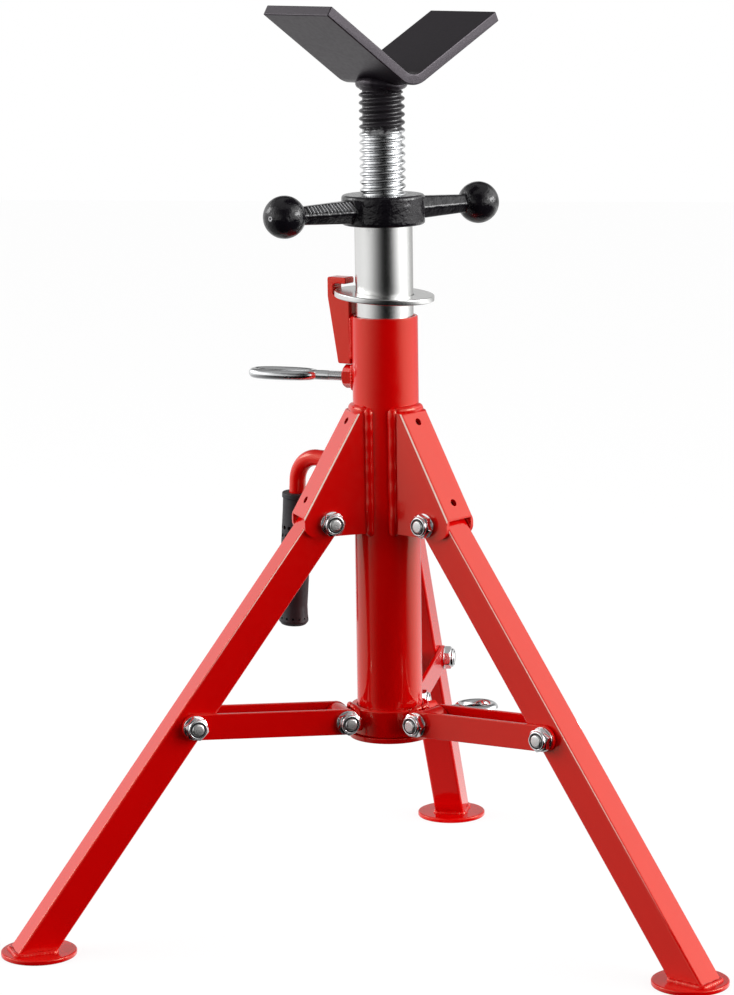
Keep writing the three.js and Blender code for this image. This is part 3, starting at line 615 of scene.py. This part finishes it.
bracket_mesh = bracket()
corner = math.asin(BRACKET_OUTER / COLUMN_RADIUS)
top_bead = [(COLUMN_RADIUS * math.cos(a), COLUMN_RADIUS * math.sin(a), BRACKET_TOP - 1.8)
            for a in [0.93 * corner * (k / 6 - 1) for k in range(13)]]
for where, azimuth in LEGS.items():
    place = spoke(azimuth)
    # The bent corners beside the web carry a painted highlight in paler red
    add(f"fine_bracket_{where}", bracket_mesh, "column", "red", place, [f"bracket_{where}"],
        highlight_at=corners_beside(WEB_OUT))
    for label, side in SIDES.items():
        x, y = COLUMN_RADIUS * math.cos(corner) - 0.2, side * (BRACKET_OUTER - 0.5)
        path = [(x, y, BRACKET_FOOT - 2.5), (x, y, BRACKET_FOOT + 20), (x, y, BRACKET_TOP - 3),
                (x + 0.4, y - side * 2, BRACKET_TOP + 0.5)]
        add(f"weld_bracket_{where}_{label}", weld(path, 3.9, ripple=0, seed=azimuth + side, swells=0.08),
            "column", "red", place)
    add(f"weld_bracket_{where}_top", weld(top_bead, 3.6, ripple=0, seed=azimuth * 0.7, swells=0.12),
        "column", "red", place)


# Legs: square tube cut level above a round foot, and the weld around it

def leg():
    """The tube along its axis, with bores for the two bolts."""
    above_start = 9
    down = Vector((math.sin(LEG_ANGLE), 0, -math.cos(LEG_ANGLE)))
    start = Vector((LEG_START[0], 0, LEG_START[1]))
    points, faces = [], []
    for half, radius in ((LEG_HALF, 2.2), (LEG_HALF - LEG_WALL, 0.8)):
        section = [start + LEG_OUT * p.x + Vector((0, p.y, 0)) for p in oblong(-half, half, half, radius, 5)]
        points += [p - down * above_start for p in section]
        points += [p + down * ((p.z - FOOT_THICKNESS) / math.cos(LEG_ANGLE)) for p in section]
    size = len(points) // 4
    o_top, o_foot, i_top, i_foot = 0, size, 2 * size, 3 * size
    for i in range(size):
        j = (i + 1) % size
        faces += [(o_top + i, o_foot + i, o_foot + j, o_top + j),
                  (i_top + j, i_foot + j, i_foot + i, i_top + i),
                  (o_top + j, i_top + j, i_top + i, o_top + i),
                  (o_foot + i, i_foot + i, i_foot + j, o_foot + j)]
    drill = moved(disc(BOLT_BORE, -20, 20, SHARP, 24), SIDEWAYS.inverted())
    drills = [moved(drill, Matrix.Translation((x, 0, z))) for x, z in (PIVOT, LINK_END)]
    return boolean(mesh_of(points, faces), "DIFFERENCE", *drills)


leg_mesh = leg()
leg_foot_x = LEG_START[0] + (LEG_START[1] - FOOT_THICKNESS) * math.tan(LEG_ANGLE)
cut_half = LEG_HALF / math.cos(LEG_ANGLE)
foot_bead = [(p.x, p.y, FOOT_THICKNESS + 0.2) for p in oblong(-cut_half, cut_half, LEG_HALF, 3, 6)]
for where, azimuth in LEGS.items():
    place, body = spoke(azimuth), f"leg_{where}"
    # The bent corners of the front legs carry a painted highlight in paler red, reaching lower down on the
    # right leg; the rear leg has none
    add(f"fine_leg_{where}", leg_mesh, body, "red", place, [f"leg_{where}"],
        highlight_at=corners_beside(LEG_OUT) if where != "rear" else (),
        highlight_look="painted_highlight_red" if where == "left" else "painted_highlight_red_low")
    add(f"fine_foot_{where}", disc(FOOT_RADIUS, 0, FOOT_THICKNESS, 1.2, 96), body, "red",
        place @ at(FOOT_AT, 0, 0), [f"foot_{where}"])
    add(f"weld_foot_{where}", weld(foot_bead, 2.1, True, 0.03, azimuth * 0.3, 0.2), body, "red",
        place @ at(leg_foot_x, 0, 0))


# Bolts with their lock nuts

def hexagon(flats, low, high):
    """A hexagonal prism along z whose upper corners are turned down to a cone."""
    corner, drop, nip = flats / 2 / math.cos(math.pi / 6), 1.9, 0.4
    prism = plate(circle(corner, 6), low, high + 1, 0.15)
    cone = lathe([(0, low - 1), (corner + 1, low - 1), (corner + 1, high - drop),
                  (flats / 2 - nip, high), (0, high)], 48)
    return softened(boolean(prism, "INTERSECT", cone), 0.2, 2, 20)


WASHER, NUT_HEIGHT, NUT_BORE = 1.3, 5.2, 5.3
bolt_head = hexagon(16, 0, 6)
washer = ring(NUT_BORE, 9.4, 0, WASHER, 0.35, 48, 0.2)
nut_hexagon = boolean(hexagon(16.5, 0, NUT_HEIGHT), "DIFFERENCE", disc(NUT_BORE, -2, 8, SHARP, 48))
nut_dome = lathe(rounded([(6.1, 0), (7.6, 0), (7.4, 1.9, 1.1), (6.1, 1.9, 0.3)], 5), 48)
nylon_ring = ring(5.1, 6.2, 0, 1.3, 0.2, 48, 0.1)
bolt_tip = disc(4.9, -2, 2.7, 1.5, 48)


def bolt(name, body, side, seat, place, nut_nodes, head_nodes, inner):
    """Head, washer, nut, nylon ring and shank across a pivot, with the nut towards side.

    Where inner is given, the shank between the two inner faces belongs to another body and is left out."""
    place = place @ Matrix.Rotation(-side * math.pi / 2, 4, "X")
    low, high = -seat - 0.2, seat + 1
    spans = ((low, -inner), (inner, high)) if inner else ((low, high),)
    shank = [disc(BOLT_RADIUS, foot, top, 0.1, 40) for foot, top in spans]
    head = moved(bolt_head, up(-seat) @ Matrix.Rotation(math.pi, 4, "X"))
    collar = moved(washer, up(-seat - 0.05) @ Matrix.Scale(0.2, 4, (0, 0, 1)))
    add(f"{name}_head", joined(head, collar, *shank), body, "fastener", place, head_nodes)
    nut_top = seat + WASHER + NUT_HEIGHT
    own_turn = Matrix.Rotation(math.radians(sum(map(ord, name)) * 17 % 60), 4, "Z")
    nut = joined(moved(washer, up(seat)), moved(nut_hexagon, up(seat + WASHER) @ own_turn),
                 moved(nut_dome, up(nut_top)))
    add(f"{name}_nut", nut, body, "fastener", place, nut_nodes)
    add(f"{name}_seal", nylon_ring, body, "nylon", place @ at(0, 0, nut_top + 0.4))
    add(f"{name}_tip", bolt_tip, body, "bolt_end", place @ at(0, 0, nut_top + 0.1))


for where, azimuth in LEGS.items():
    for kind, body, seat, pivot, head_node, inner in (
            ("pivot", "column", BRACKET_OUTER + 0.05, PIVOT, "pivot_bolt", None),
            ("collar", "collar", BAR_OUTER + GAP, COLLAR_PIVOT, "collar_bolt", None),
            ("link", f"link_{where}", BAR_OUTER + 0.05, LINK_END, "link_bolt_head", BAR_INNER)):
        bolt(f"{kind}_{where}", body, NUT_SIDE[where], seat, spoke(azimuth) @ pivot_at(pivot),
             [f"{kind}_nut_{where}"], [f"{head_node}_{where}"], inner)

# Link bars
BAR_HALF = 10
bar_shape = oblong(-BAR_HALF, LINK_LENGTH + BAR_HALF, BAR_HALF, BAR_HALF - 0.1, 12)
bar_holes = [circle(BOLT_BORE, 32), circle(BOLT_BORE, 32, LINK_LENGTH)]
for where, azimuth in LEGS.items():
    place = spoke(azimuth) @ pivot_at(COLLAR_PIVOT) @ Matrix.Rotation(-LINK_SLOPE, 4, "Y")
    for label, side in (("near", NUT_SIDE[where]), ("far", -NUT_SIDE[where])):
        low, high = sorted((side * BAR_INNER, side * BAR_OUTER))
        add(f"fine_bar_{label}_{where}", side_plate(bar_shape, low, high, 0.5, bar_holes),
            f"link_{where}", "red", place, [f"link_bar_{label}_{where}"])

# Sliding collar with its sleeves; half of a sleeve's bead is given as (angle, height above the bolt)
COLLAR_RADIUS, COLLAR_BORE, COLLAR_HEIGHT = 30.5, 25.9, 21
SLEEVE_BEAD = ((0.36, -9), (0.36, 0), (0.33, 6), (0.2, 8.4), (0, 8.8))
add("fine_collar", ring(COLLAR_BORE, COLLAR_RADIUS, COLUMN_FOOT, COLUMN_FOOT + COLLAR_HEIGHT, 1.2),
    "collar", "red", column, ["collar"])
sleeve = moved(ring(BOLT_BORE, 9.5, -LEG_HALF, LEG_HALF, 0.8, 48), SIDEWAYS.inverted())
for where, azimuth in LEGS.items():
    place = spoke(azimuth)
    add(f"sleeve_{where}", sleeve, "collar", "red", place @ pivot_at(COLLAR_PIVOT))
    for label, side in SIDES.items():
        around = COLLAR_RADIUS + 0.1
        path = [(around * math.cos(side * a) + 1.0, around * math.sin(side * a), COLLAR_PIVOT[1] + h)
                for a, h in SLEEVE_BEAD]
        add(f"weld_sleeve_{where}_{label}", weld(path, 2.2, ripple=0.04, seed=azimuth + side * 3),
            "collar", "red", place)


# Clamp screws with their eyes and bosses

def saddle(half_angle, half_height, z=0.0, reach=COLUMN_RADIUS):
    """A closed path on the column's face, around what is welded to it."""
    path = []
    for k in range(24):
        turn = TAU * k / 24
        a = half_angle * math.cos(turn)
        path.append((reach * math.cos(a), COLUMN_RADIUS * math.sin(a), z + half_height * math.sin(turn)))
    return path


def eye_screw(tip, thread_end, reach, length, width):
    """A screw along x with an eye of round wire, whose middle lies at reach."""
    wire, power = 3.8, 2 / 2.25
    loop = []
    for k in range(72):
        c, s = math.cos(TAU * k / 72), math.sin(TAU * k / 72)
        loop.append(Vector((reach + math.copysign(abs(c) ** power, c) * (length / 2 - wire),
                            math.copysign(abs(s) ** power, s) * (width / 2 - wire), 0)))
    eye = sweep(even(loop, 1.2, True), wire, 24, True)
    root = reach - length / 2
    stem = [Vector((x, 0, 0)) for x in (thread_end, root + 2, root + wire * 1.6)]
    narrowing = (1, 1, 0.9)
    shank = sweep(stem, lambda i, a: wire * narrowing[i], 24)
    sharp = ((0, 0), (0.3, 0), (0.45, 1), (0.55, 1), (0.7, 0), (1, 0))
    thread = thread_mesh(3.25, 3.85, pitch=1.5, foot=tip, top=thread_end + 0.4, steps=24, profile=sharp)
    return joined(eye, shank, moved(thread, OUTWARD))


CLAMP_Z = 426.3
BOSS_FLATS, BOSS_START, BOSS_END, BOSS_BORE = 16, 20, 33.6, 4.3
boss = boolean(hexagon(BOSS_FLATS, BOSS_START, BOSS_END), "DIFFERENCE", disc(BOSS_BORE, 0, 60, SHARP, 32))
clamp_place = spoke(CLAMP_AT) @ at(0, 0, CLAMP_Z)
add("fine_clamp_boss", boss, "column", "red", clamp_place @ OUTWARD, ["clamp_boss"])
add("weld_clamp_boss", weld(saddle(0.37, 9.6, reach=25.6), 1.7, True), "column", "red", clamp_place)
add("fine_clamp_screw", eye_screw(tip=22.6, thread_end=46.6, reach=85, length=58, width=28),
    "clamp_screw", "zinc", clamp_place, ["clamp_screw"])
collar_place = spoke(COLLAR_SCREW_AT) @ at(0, 0, COLUMN_FOOT + COLLAR_HEIGHT / 2)
add("fine_collar_boss", boss,
    "collar", "red", collar_place @ at(COLLAR_RADIUS - COLUMN_RADIUS, 0, 0) @ OUTWARD, ["collar_boss"])
add("fine_collar_screw", eye_screw(tip=25.8, thread_end=45.5, reach=72, length=34, width=33),
    "collar_screw", "zinc", collar_place, ["collar_screw"])

# Hook over the lock ring; the jaw is the floor of its notch, just under the tilted ring
HOOK_HALF, HOOK_GRIP, HOOK_BACK, NOTCH_BACK = 6, 25.7, 45.5, 40
HOOK_FOOT, HOOK_TOP, NOTCH_TOP = 436.5, 503, 498
jaw = RING_Z + HOOK_GRIP * math.tan(RING_TILT) - RING_HALF / math.cos(RING_TILT) - GAP
hook = rounded([
    (25.2, HOOK_FOOT), (36.6, HOOK_FOOT, 1.5), (HOOK_BACK, 488), (HOOK_BACK, HOOK_TOP, 1.5),
    (28.5, HOOK_TOP, 1.5), (28.5, NOTCH_TOP, 1.2), (NOTCH_BACK, NOTCH_TOP, 2.5), (NOTCH_BACK, jaw, 1.5),
    (HOOK_GRIP, jaw)], 6)
hook_turn = at(37, 0, 0) @ Matrix.Rotation(math.radians(-8), 4, "Z") @ at(-37, 0, 0)
add("fine_hook", side_plate(hook, -HOOK_HALF, HOOK_HALF, 0.8), "column", "red", spoke(HOOK_AT) @ hook_turn,
    ["hook_bracket"])
for label, side in SIDES.items():
    path = [(25.2, side * (HOOK_HALF + 0.2), z) for z in (440, 455, 473)]
    add(f"weld_hook_{label}", weld(path, 1.9, ripple=0.05, seed=side), "column", "red", spoke(HOOK_AT))

# Carrying handle: a bar that runs out, bends down and leans in towards its foot
CARRY_Z, CARRY_REACH, CARRY_BEND, CARRY_DROP, CARRY_RADIUS = 357, 92.8, 21, 113.6, 6.5
CARRY_LEAN = math.radians(3.5)
bend_angle = math.pi / 2 - CARRY_LEAN
bend_x, bend_z = CARRY_REACH - CARRY_BEND, CARRY_Z - CARRY_BEND
bar_path = [Vector((20, 0, CARRY_Z)), Vector((bend_x, 0, CARRY_Z))]
for k in range(1, 17):
    a = bend_angle * k / 16
    bar_path.append(Vector((bend_x + CARRY_BEND * math.sin(a), 0, bend_z + CARRY_BEND * math.cos(a))))
grip_foot = bar_path[-1] + Vector((math.cos(bend_angle), 0, -math.sin(bend_angle))) * CARRY_DROP
bar_path.append(grip_foot)
carry = boolean(sweep(bar_path, CARRY_RADIUS, 32), "DIFFERENCE", column_core(330, 380))
add("fine_carry_bar", carry, "column", "red", spoke(CARRY_AT), ["carry_bar"])
add("weld_carry", weld(saddle(0.27, 6.9, CARRY_Z), 1.8, True), "column", "red", spoke(CARRY_AT))


def grip():
    """The rubber grip, waisted and open at the top, with its rows of holes, each (height, radius)."""
    body = lathe(rounded([
        (0, -4), (9.6, -4, 2), (11.9, -1, 2), (11.2, 5, 3), (10.7, 12, 8), (11.5, 45, 20), (11.7, 62, 20),
        (11.2, 90, 10), (11.2, 99.1, 0.5), (12.0, 99.6, 0.6), (12.0, 103.6, 1),
        (6.8, 103.6, 0.5), (6.8, -0.3), (0, -0.3)], 5), 64)
    drills = []
    for row, (height, radius) in enumerate(((2.2, 0.9), (69.5, 1.6), (76, 1.6))):
        for k in range(14):
            turn = Matrix.Rotation(TAU * (k + row / 2) / 14, 4, "Z")
            drills.append(moved(disc(radius, 0, 8, SHARP, 12), up(height) @ turn @ OUTWARD @ up(9.2)))
    return boolean(body, "DIFFERENCE", joined(*drills))


add("fine_grip", grip(), "column", "rubber",
    spoke(CARRY_AT) @ at(*grip_foot) @ Matrix.Rotation(-CARRY_LEAN, 4, "Y"), ["carry_grip"])

# Spin handle: a rough casting, its arms and balls grown together
HUB_RADIUS, HUB_BORE = 31.8, 15.6
ARM_START, ARM_REACH, BALL_RADIUS = 24, 89.2, 16.2


def arm(way):
    """One arm of six-sided sections, each (reach, height, flat, width), towards way."""
    points = []
    for x, height, flat, width in ((ARM_START, 18, 10, 21), (31, 17.4, 10, 20), (60, 15, 7.6, 16),
                                   (ARM_REACH, 12.6, 6, 12.6)):
        points += [Vector((way * x, y, BALL_Z + z)) for y, z in (
            (flat / 2, height / 2), (-flat / 2, height / 2), (-width / 2, 0),
            (-flat / 2, -height / 2), (flat / 2, -height / 2), (width / 2, 0))]
    faces = [(k + i, k + (i + 1) % 6, k + 6 + (i + 1) % 6, k + 6 + i)
             for k in range(0, len(points) - 6, 6) for i in range(6)]
    faces += [tuple(range(6))[::-1], tuple(range(len(points) - 6, len(points)))]
    mesh = mesh_of(points, faces)
    bm = bmesh.new()
    bm.from_mesh(mesh)
    bmesh.ops.recalc_face_normals(bm, faces=bm.faces)
    bm.to_mesh(mesh)
    bm.free()
    return softened(mesh, 1.2, 2, 25)


def spin_handle():
    """Hub, arms and balls grown together and smoothed as a casting is."""
    recess = HUB_FOOT + HUB_RECESS
    post_hole = POST_RADIUS + GAP
    hub = lathe(rounded([
        (HUB_BORE, recess), (post_hole, recess), (post_hole, HUB_FOOT),
        (HUB_RADIUS, HUB_FOOT, 2.2), (HUB_RADIUS, HUB_TOP, 2.4), (HUB_BORE, HUB_TOP, 0.8)], 6))
    half_circle = [math.pi * k / 32 for k in range(33)]
    ball = lathe([(BALL_RADIUS * math.sin(a), -BALL_RADIUS * math.cos(a)) for a in half_circle], 64)
    solids = []
    for way in SIDES.values():
        solids += [arm(way), moved(ball, Matrix.Translation((way * ARM_REACH, 0, BALL_Z)))]
    return evaluated(boolean(hub, "UNION", *solids),
                     ("REMESH", {"mode": "VOXEL", "voxel_size": 0.7, "use_smooth_shade": True}),
                     ("SMOOTH", {"factor": 0.5, "iterations": 2}))


def grinding_marks():
    """Bare ridges left by a grinder across the upper front face of one arm."""
    count, first, pitch = 14, 33, 2.9
    marks = []
    for k in range(count):
        x = first + pitch * k
        share = (x - ARM_START) / (ARM_REACH - ARM_START)
        slant = 2.2 - 1.6 * k / count
        top = Vector((-x - slant, -5 + 2 * share, BALL_Z + 8.5 - 2.5 * share))
        low = Vector((-x + slant, -9.9 + 3.8 * share, BALL_Z + 1.2))
        start, end = top.lerp(low, 0.06), top.lerp(low, 0.94 + 0.05 * math.sin(k * 1.9))
        marks.append(sweep([start, start.lerp(end, 0.5), end], 1.15 + 0.15 * math.sin(k * 2.3), 10))
    return joined(*marks)


add("fine_spin_handle", spin_handle(),
    "spin_handle", "gloss_black", spoke(SPIN_AT), ["spin_handle"], smooth=60)
add("grinding_marks", grinding_marks(), "spin_handle", "ground_iron", spoke(SPIN_AT))
# A small ring is left where the casting's feed was broken off the ball
ball_face = Matrix.Rotation(math.radians(197), 4, "Z") @ OUTWARD @ at(0, 0, BALL_RADIUS - 0.1)
add("sprue_mark", ring(0.7, 2.0, -1, 0.25, 0.12, 24), "spin_handle", "ground_iron",
    spoke(SPIN_AT) @ at(-ARM_REACH, 0, BALL_Z) @ ball_face)

# Jack screw with its rounded thread
SCREW_ROOT, SCREW_CREST, SCREW_PITCH = 14.9, 17.5, 6
rope = [(k / 12, max(0.0, math.cos((k / 12 - 0.5) * TAU * 0.72)) ** 0.7) for k in range(13)]
add("fine_jack_screw", thread_mesh(SCREW_ROOT, SCREW_CREST, SCREW_PITCH, SCREW_FOOT, SCREW_TOP - 3, 64, rope),
    "screw_lift", "screw", column, ["jack_screw"], smooth=60)
add("screw_neck", disc(SCREW_ROOT, SCREW_TOP - 6, SCREW_TOP, 0.2, 64), "screw_lift", "satin_black", column)

# V head: a thick plate, bent, sunk into its weld on the screw and tilted a little
HEAD_ANGLE, HEAD_TILT = math.radians(30.2), math.radians(3.2)
WING, HEAD_PLATE, HEAD_BEND, HEAD_HALF, HEAD_SINK = 101, 8.2, 16, 34.5, 1.8
cos_h, sin_h = math.cos(HEAD_ANGLE), math.sin(HEAD_ANGLE)
inner_z = SCREW_TOP + HEAD_SINK + HEAD_PLATE - HEAD_BEND * (1 / cos_h - 1)
tip_in = (WING * cos_h, inner_z + WING * sin_h)
tip_out = (tip_in[0] + HEAD_PLATE * sin_h, tip_in[1] - HEAD_PLATE * cos_h)
v_shape = rounded([
    (*tip_in, 0.9), (0, inner_z, HEAD_BEND), (-tip_in[0], tip_in[1], 0.9), (-tip_out[0], tip_out[1], 0.9),
    (0, inner_z - HEAD_PLATE / cos_h, HEAD_BEND + HEAD_PLATE), (*tip_out, 0.9)], 16)
head_place = spoke(TROUGH_AT - 90)
tilted = head_place @ at(0, 0, inner_z) @ Matrix.Rotation(HEAD_TILT, 4, "Y") @ at(0, 0, -inner_z)
add("fine_v_head", side_plate(v_shape, -HEAD_HALF, HEAD_HALF, 0.9),
    "screw_lift", "satin_black", tilted, ["v_head"])
bead = [(p.x, p.y, SCREW_TOP + 0.2 + abs(p.x) * 0.2) for p in circle(16, 32)]
add("weld_v_head", weld(bead, 3.9, True, 0.02, 4, 0.3), "screw_lift", "satin_black", head_place)
fill = rounded([(0, SCREW_TOP - 2.6), (16.4, SCREW_TOP - 2.6, 1.5), (18.6, SCREW_TOP + 1.5, 1.5),
                (18.2, SCREW_TOP + 4), (0, SCREW_TOP + 4)], 4)
add("weld_v_head_fill", lathe(fill, 64), "screw_lift", "satin_black", head_place)

# The link bolts stay as packed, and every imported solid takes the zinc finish
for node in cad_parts.values():
    node.data.materials.clear()
    node.data.materials.append(looks["zinc"][0])

# The camera, solved from the photograph, in metres
PHOTO_HEIGHT, FOCAL_PIXELS, SENSOR = 995, 3338.93, 36
CAMERA_PLACE = (0.4632, -2.5662, 0.79263)
forward = Vector((-0.18557, 0.96633, -0.17822))
right = Vector((0.98245, 0.18597, -0.01460))
upward = right.cross(forward).normalized()
cam_data = bpy.data.cameras.new("camera")
cam_data.sensor_fit = "VERTICAL"
cam_data.sensor_height = SENSOR
cam_data.lens = FOCAL_PIXELS / PHOTO_HEIGHT * SENSOR
camera = bpy.data.objects.new("camera", cam_data)
turn = Matrix((right, upward, -forward)).transposed()
camera.matrix_world = Matrix.Translation(CAMERA_PLACE) @ turn.to_4x4()
bpy.context.scene.collection.objects.link(camera)
bpy.context.scene.camera = camera

# Floor: white to the camera, with the object's soft shadow; the object itself is lit by the world around it
floor_mesh = mesh_of(((-6, -6, 0), (6, -6, 0), (6, 6, 0), (-6, 6, 0)), [(0, 1, 2, 3)])
floor = bpy.data.objects.new("floor", floor_mesh)
floor.location.z = -0.0002
floor.visible_diffuse = floor.visible_glossy = floor.visible_shadow = False
bpy.context.scene.collection.objects.link(floor)
floor_mat = bpy.data.materials.new("floor")
floor_mat.use_nodes = True
floor_mesh.materials.append(floor_mat)
tree = floor_mat.node_tree
paper = tree.nodes["Principled BSDF"]
connect(tree, paper, {"Base Color": (0.85, 0.85, 0.85, 1), "Roughness": 0.9})
glow = new_node(tree, "Emission", {"Strength": 1.06})
seen = new_node(tree, "LightPath", {}).outputs["Is Camera Ray"]
share = new_node(tree, "Math", {0: seen, 1: 0.85}, operation="MULTIPLY")
mixer = new_node(tree, "MixShader", {"Fac": share.outputs[0], 1: paper.outputs[0], 2: glow.outputs[0]})
connect(tree, tree.nodes["Material Output"], {"Surface": mixer.outputs[0]})

# The studio: a level of light for each direction, by bearing in degrees from the camera's side and by height
world = bpy.data.worlds.new("studio")
bpy.context.scene.world = world
world.use_nodes = True
studio = world.node_tree
studio.nodes.clear()
direction = new_node(studio, "TexCoord", {}).outputs["Generated"]

# A colour ramp holds at most 1, so its levels are kept as shares of this one
TOP_LEVEL = 4.0


def dot(vector):
    return new_node(studio, "VectorMath", {0: direction, 1: vector}, operation="DOT_PRODUCT").outputs["Value"]


def maths(operation, a, b):
    return new_node(studio, "Math", {0: a, 1: b}, operation=operation).outputs[0]


def ramp(value, stops):
    """A curve of light over value, through stops (value, level) in rising order."""
    low, high = stops[0][0], stops[-1][0]
    place = new_node(studio, "MapRange", {"From Min": low, "From Max": high, "Value": value})
    node = new_node(studio, "ValToRGB", {"Fac": place.outputs["Result"]})
    elements = node.color_ramp.elements
    for stop, level in stops[1:-1]:
        elements.new((stop - low) / (high - low))
    for element, (stop, level) in zip(elements, stops):
        element.color = (*[level / TOP_LEVEL] * 3, 1)
    return maths("MULTIPLY", node.outputs["Color"], TOP_LEVEL)


flat_forward = Vector((forward.x, forward.y, 0)).normalized()
flat_right = Vector((flat_forward.y, -flat_forward.x, 0))
bearing = maths("MULTIPLY", maths("ARCTAN2", dot(flat_right), dot(-flat_forward)), 180 / math.pi)
height = dot((0, 0, 1))


def lean_of(start, slope, most):
    """How far, in degrees, a wall's near edge stands back: up to most low down, and 18 nearer high up."""
    back = maths("MULTIPLY", maths("SUBTRACT", start, height), slope)
    return maths("MINIMUM", maths("MAXIMUM", back, -18), most)


def panel(turn, around, upright):
    """A level by bearing times a level by height."""
    return maths("MULTIPLY", ramp(turn, around), ramp(height, upright))


right_wall = panel(
    maths("SUBTRACT", bearing, lean_of(-0.116, 280, 50)),
    [(-180, 0), (0, 0), (24, 0.01), (36, 0.05), (42, 0.25), (47, 0.62), (52, 1), (58, 1.25), (65, 1.4),
     (74, 1.6), (88, 1.6), (100, 1.4), (115, 1), (130, 0.58), (155, 0.5), (180, 0.65)],
    [(-1, 0.15), (-0.6, 0.3), (-0.35, 0.6), (-0.28, 1), (0.2, 1.05), (0.36, 0.6), (0.5, 0.1), (1, 0.05)])
left_wall = panel(
    maths("ADD", bearing, lean_of(-0.1385, 530, 24)),
    [(-180, 0.75), (-150, 0.95), (-120, 0.95), (-100, 1.05), (-80, 1.05), (-66, 0.88), (-50, 0.52),
     (-38, 0.27), (-28, 0.11), (-18, 0.02), (-10, 0), (180, 0)],
    [(-1, 0.15), (-0.4, 0.5), (-0.28, 0.8), (-0.22, 0.9), (-0.13, 1), (0.2, 1.05), (0.36, 0.6), (0.5, 0.1),
     (1, 0.05)])
back_floor = panel(
    bearing, [(-180, 1), (-150, 0.8), (-120, 0), (120, 0), (150, 0.8), (180, 1)],
    [(-1, 0.45), (-0.5, 0.36), (-0.35, 0.3), (-0.2, 0), (1, 0)])
boxes = panel(
    bearing,
    [(-180, 0), (-150, 0.1), (-125, 1), (-65, 1.2), (-48, 0.1), (0, 0), (40, 0.1), (58, 1.7),
     (115, 1.9), (140, 0.3), (160, 0), (180, 0)],
    [(-1, 0), (0, 0), (0.3, 1), (0.62, 1), (0.78, 0), (1, 0)])
crown = ramp(height, [(-1, 0), (0.7, 0), (0.82, 0.35), (1, 0.35)])
tall_box = panel(
    bearing, [(-180, 0), (62, 0), (66, 3.6), (98, 3.6), (104, 0), (180, 0)],
    [(-1, 0), (0.04, 0), (0.08, 2.2), (0.38, 2.2), (0.44, 0), (1, 0)])
small_box = panel(
    bearing, [(-180, 0), (-122, 0), (-117, 2.8), (-95, 2.8), (-90, 0), (180, 0)],
    [(-1, 0), (0.24, 0), (0.28, 1.6), (0.52, 1.6), (0.56, 0), (1, 0)])
total = crown
for part in (right_wall, left_wall, back_floor, boxes):
    total = maths("ADD", total, part)
# The bright lamp faces are seen in the shiny surfaces only, and the camera sees white all round
rays = new_node(studio, "LightPath", {})
for part in (tall_box, small_box):
    total = maths("ADD", total, maths("MULTIPLY", part, rays.outputs["Is Glossy Ray"]))
light, white = [new_node(studio, "Background", {"Color": (1, 1, 1, 1), "Strength": strength})
                for strength in (total, 1.0)]
choose = new_node(studio, "MixShader", {
    "Fac": rays.outputs["Is Camera Ray"], 1: light.outputs[0], 2: white.outputs[0]})
new_node(studio, "OutputWorld", {"Surface": choose.outputs[0]})


def lamp(name, size, energy, place, target):
    """A square lamp aimed at target, in metres, that the shiny surfaces don't mirror."""
    data = bpy.data.lights.new(name, "AREA")
    data.shape = "SQUARE"
    data.size = size
    data.energy = energy
    obj = bpy.data.objects.new(name, data)
    obj.location = place
    obj.rotation_euler = (place - target).to_track_quat("Z", "Y").to_euler()
    obj.visible_glossy = False
    bpy.context.scene.collection.objects.link(obj)


# Broad lamps on both sides, by bearing and rise, and the light that the floor throws up at the rear leg
middle = Vector((0, 0, 0.35))
for label, turn, rise, energy in (("left", -86, 14, 41), ("right", 63, 12, 38)):
    a, e = math.radians(turn), math.radians(rise)
    away = (flat_right * math.sin(a) - flat_forward * math.cos(a)) * math.cos(e) + Vector((0, 0, math.sin(e)))
    lamp(f"lamp_{label}", 2, energy, middle + away * 2.4, middle)
lamp("floor_bounce", size=0.12, energy=0.13, place=Vector((0, 0.05, -0.08)), target=Vector((0, 0.17, 0.07)))

bpy.context.scene.view_settings.view_transform = "Standard"
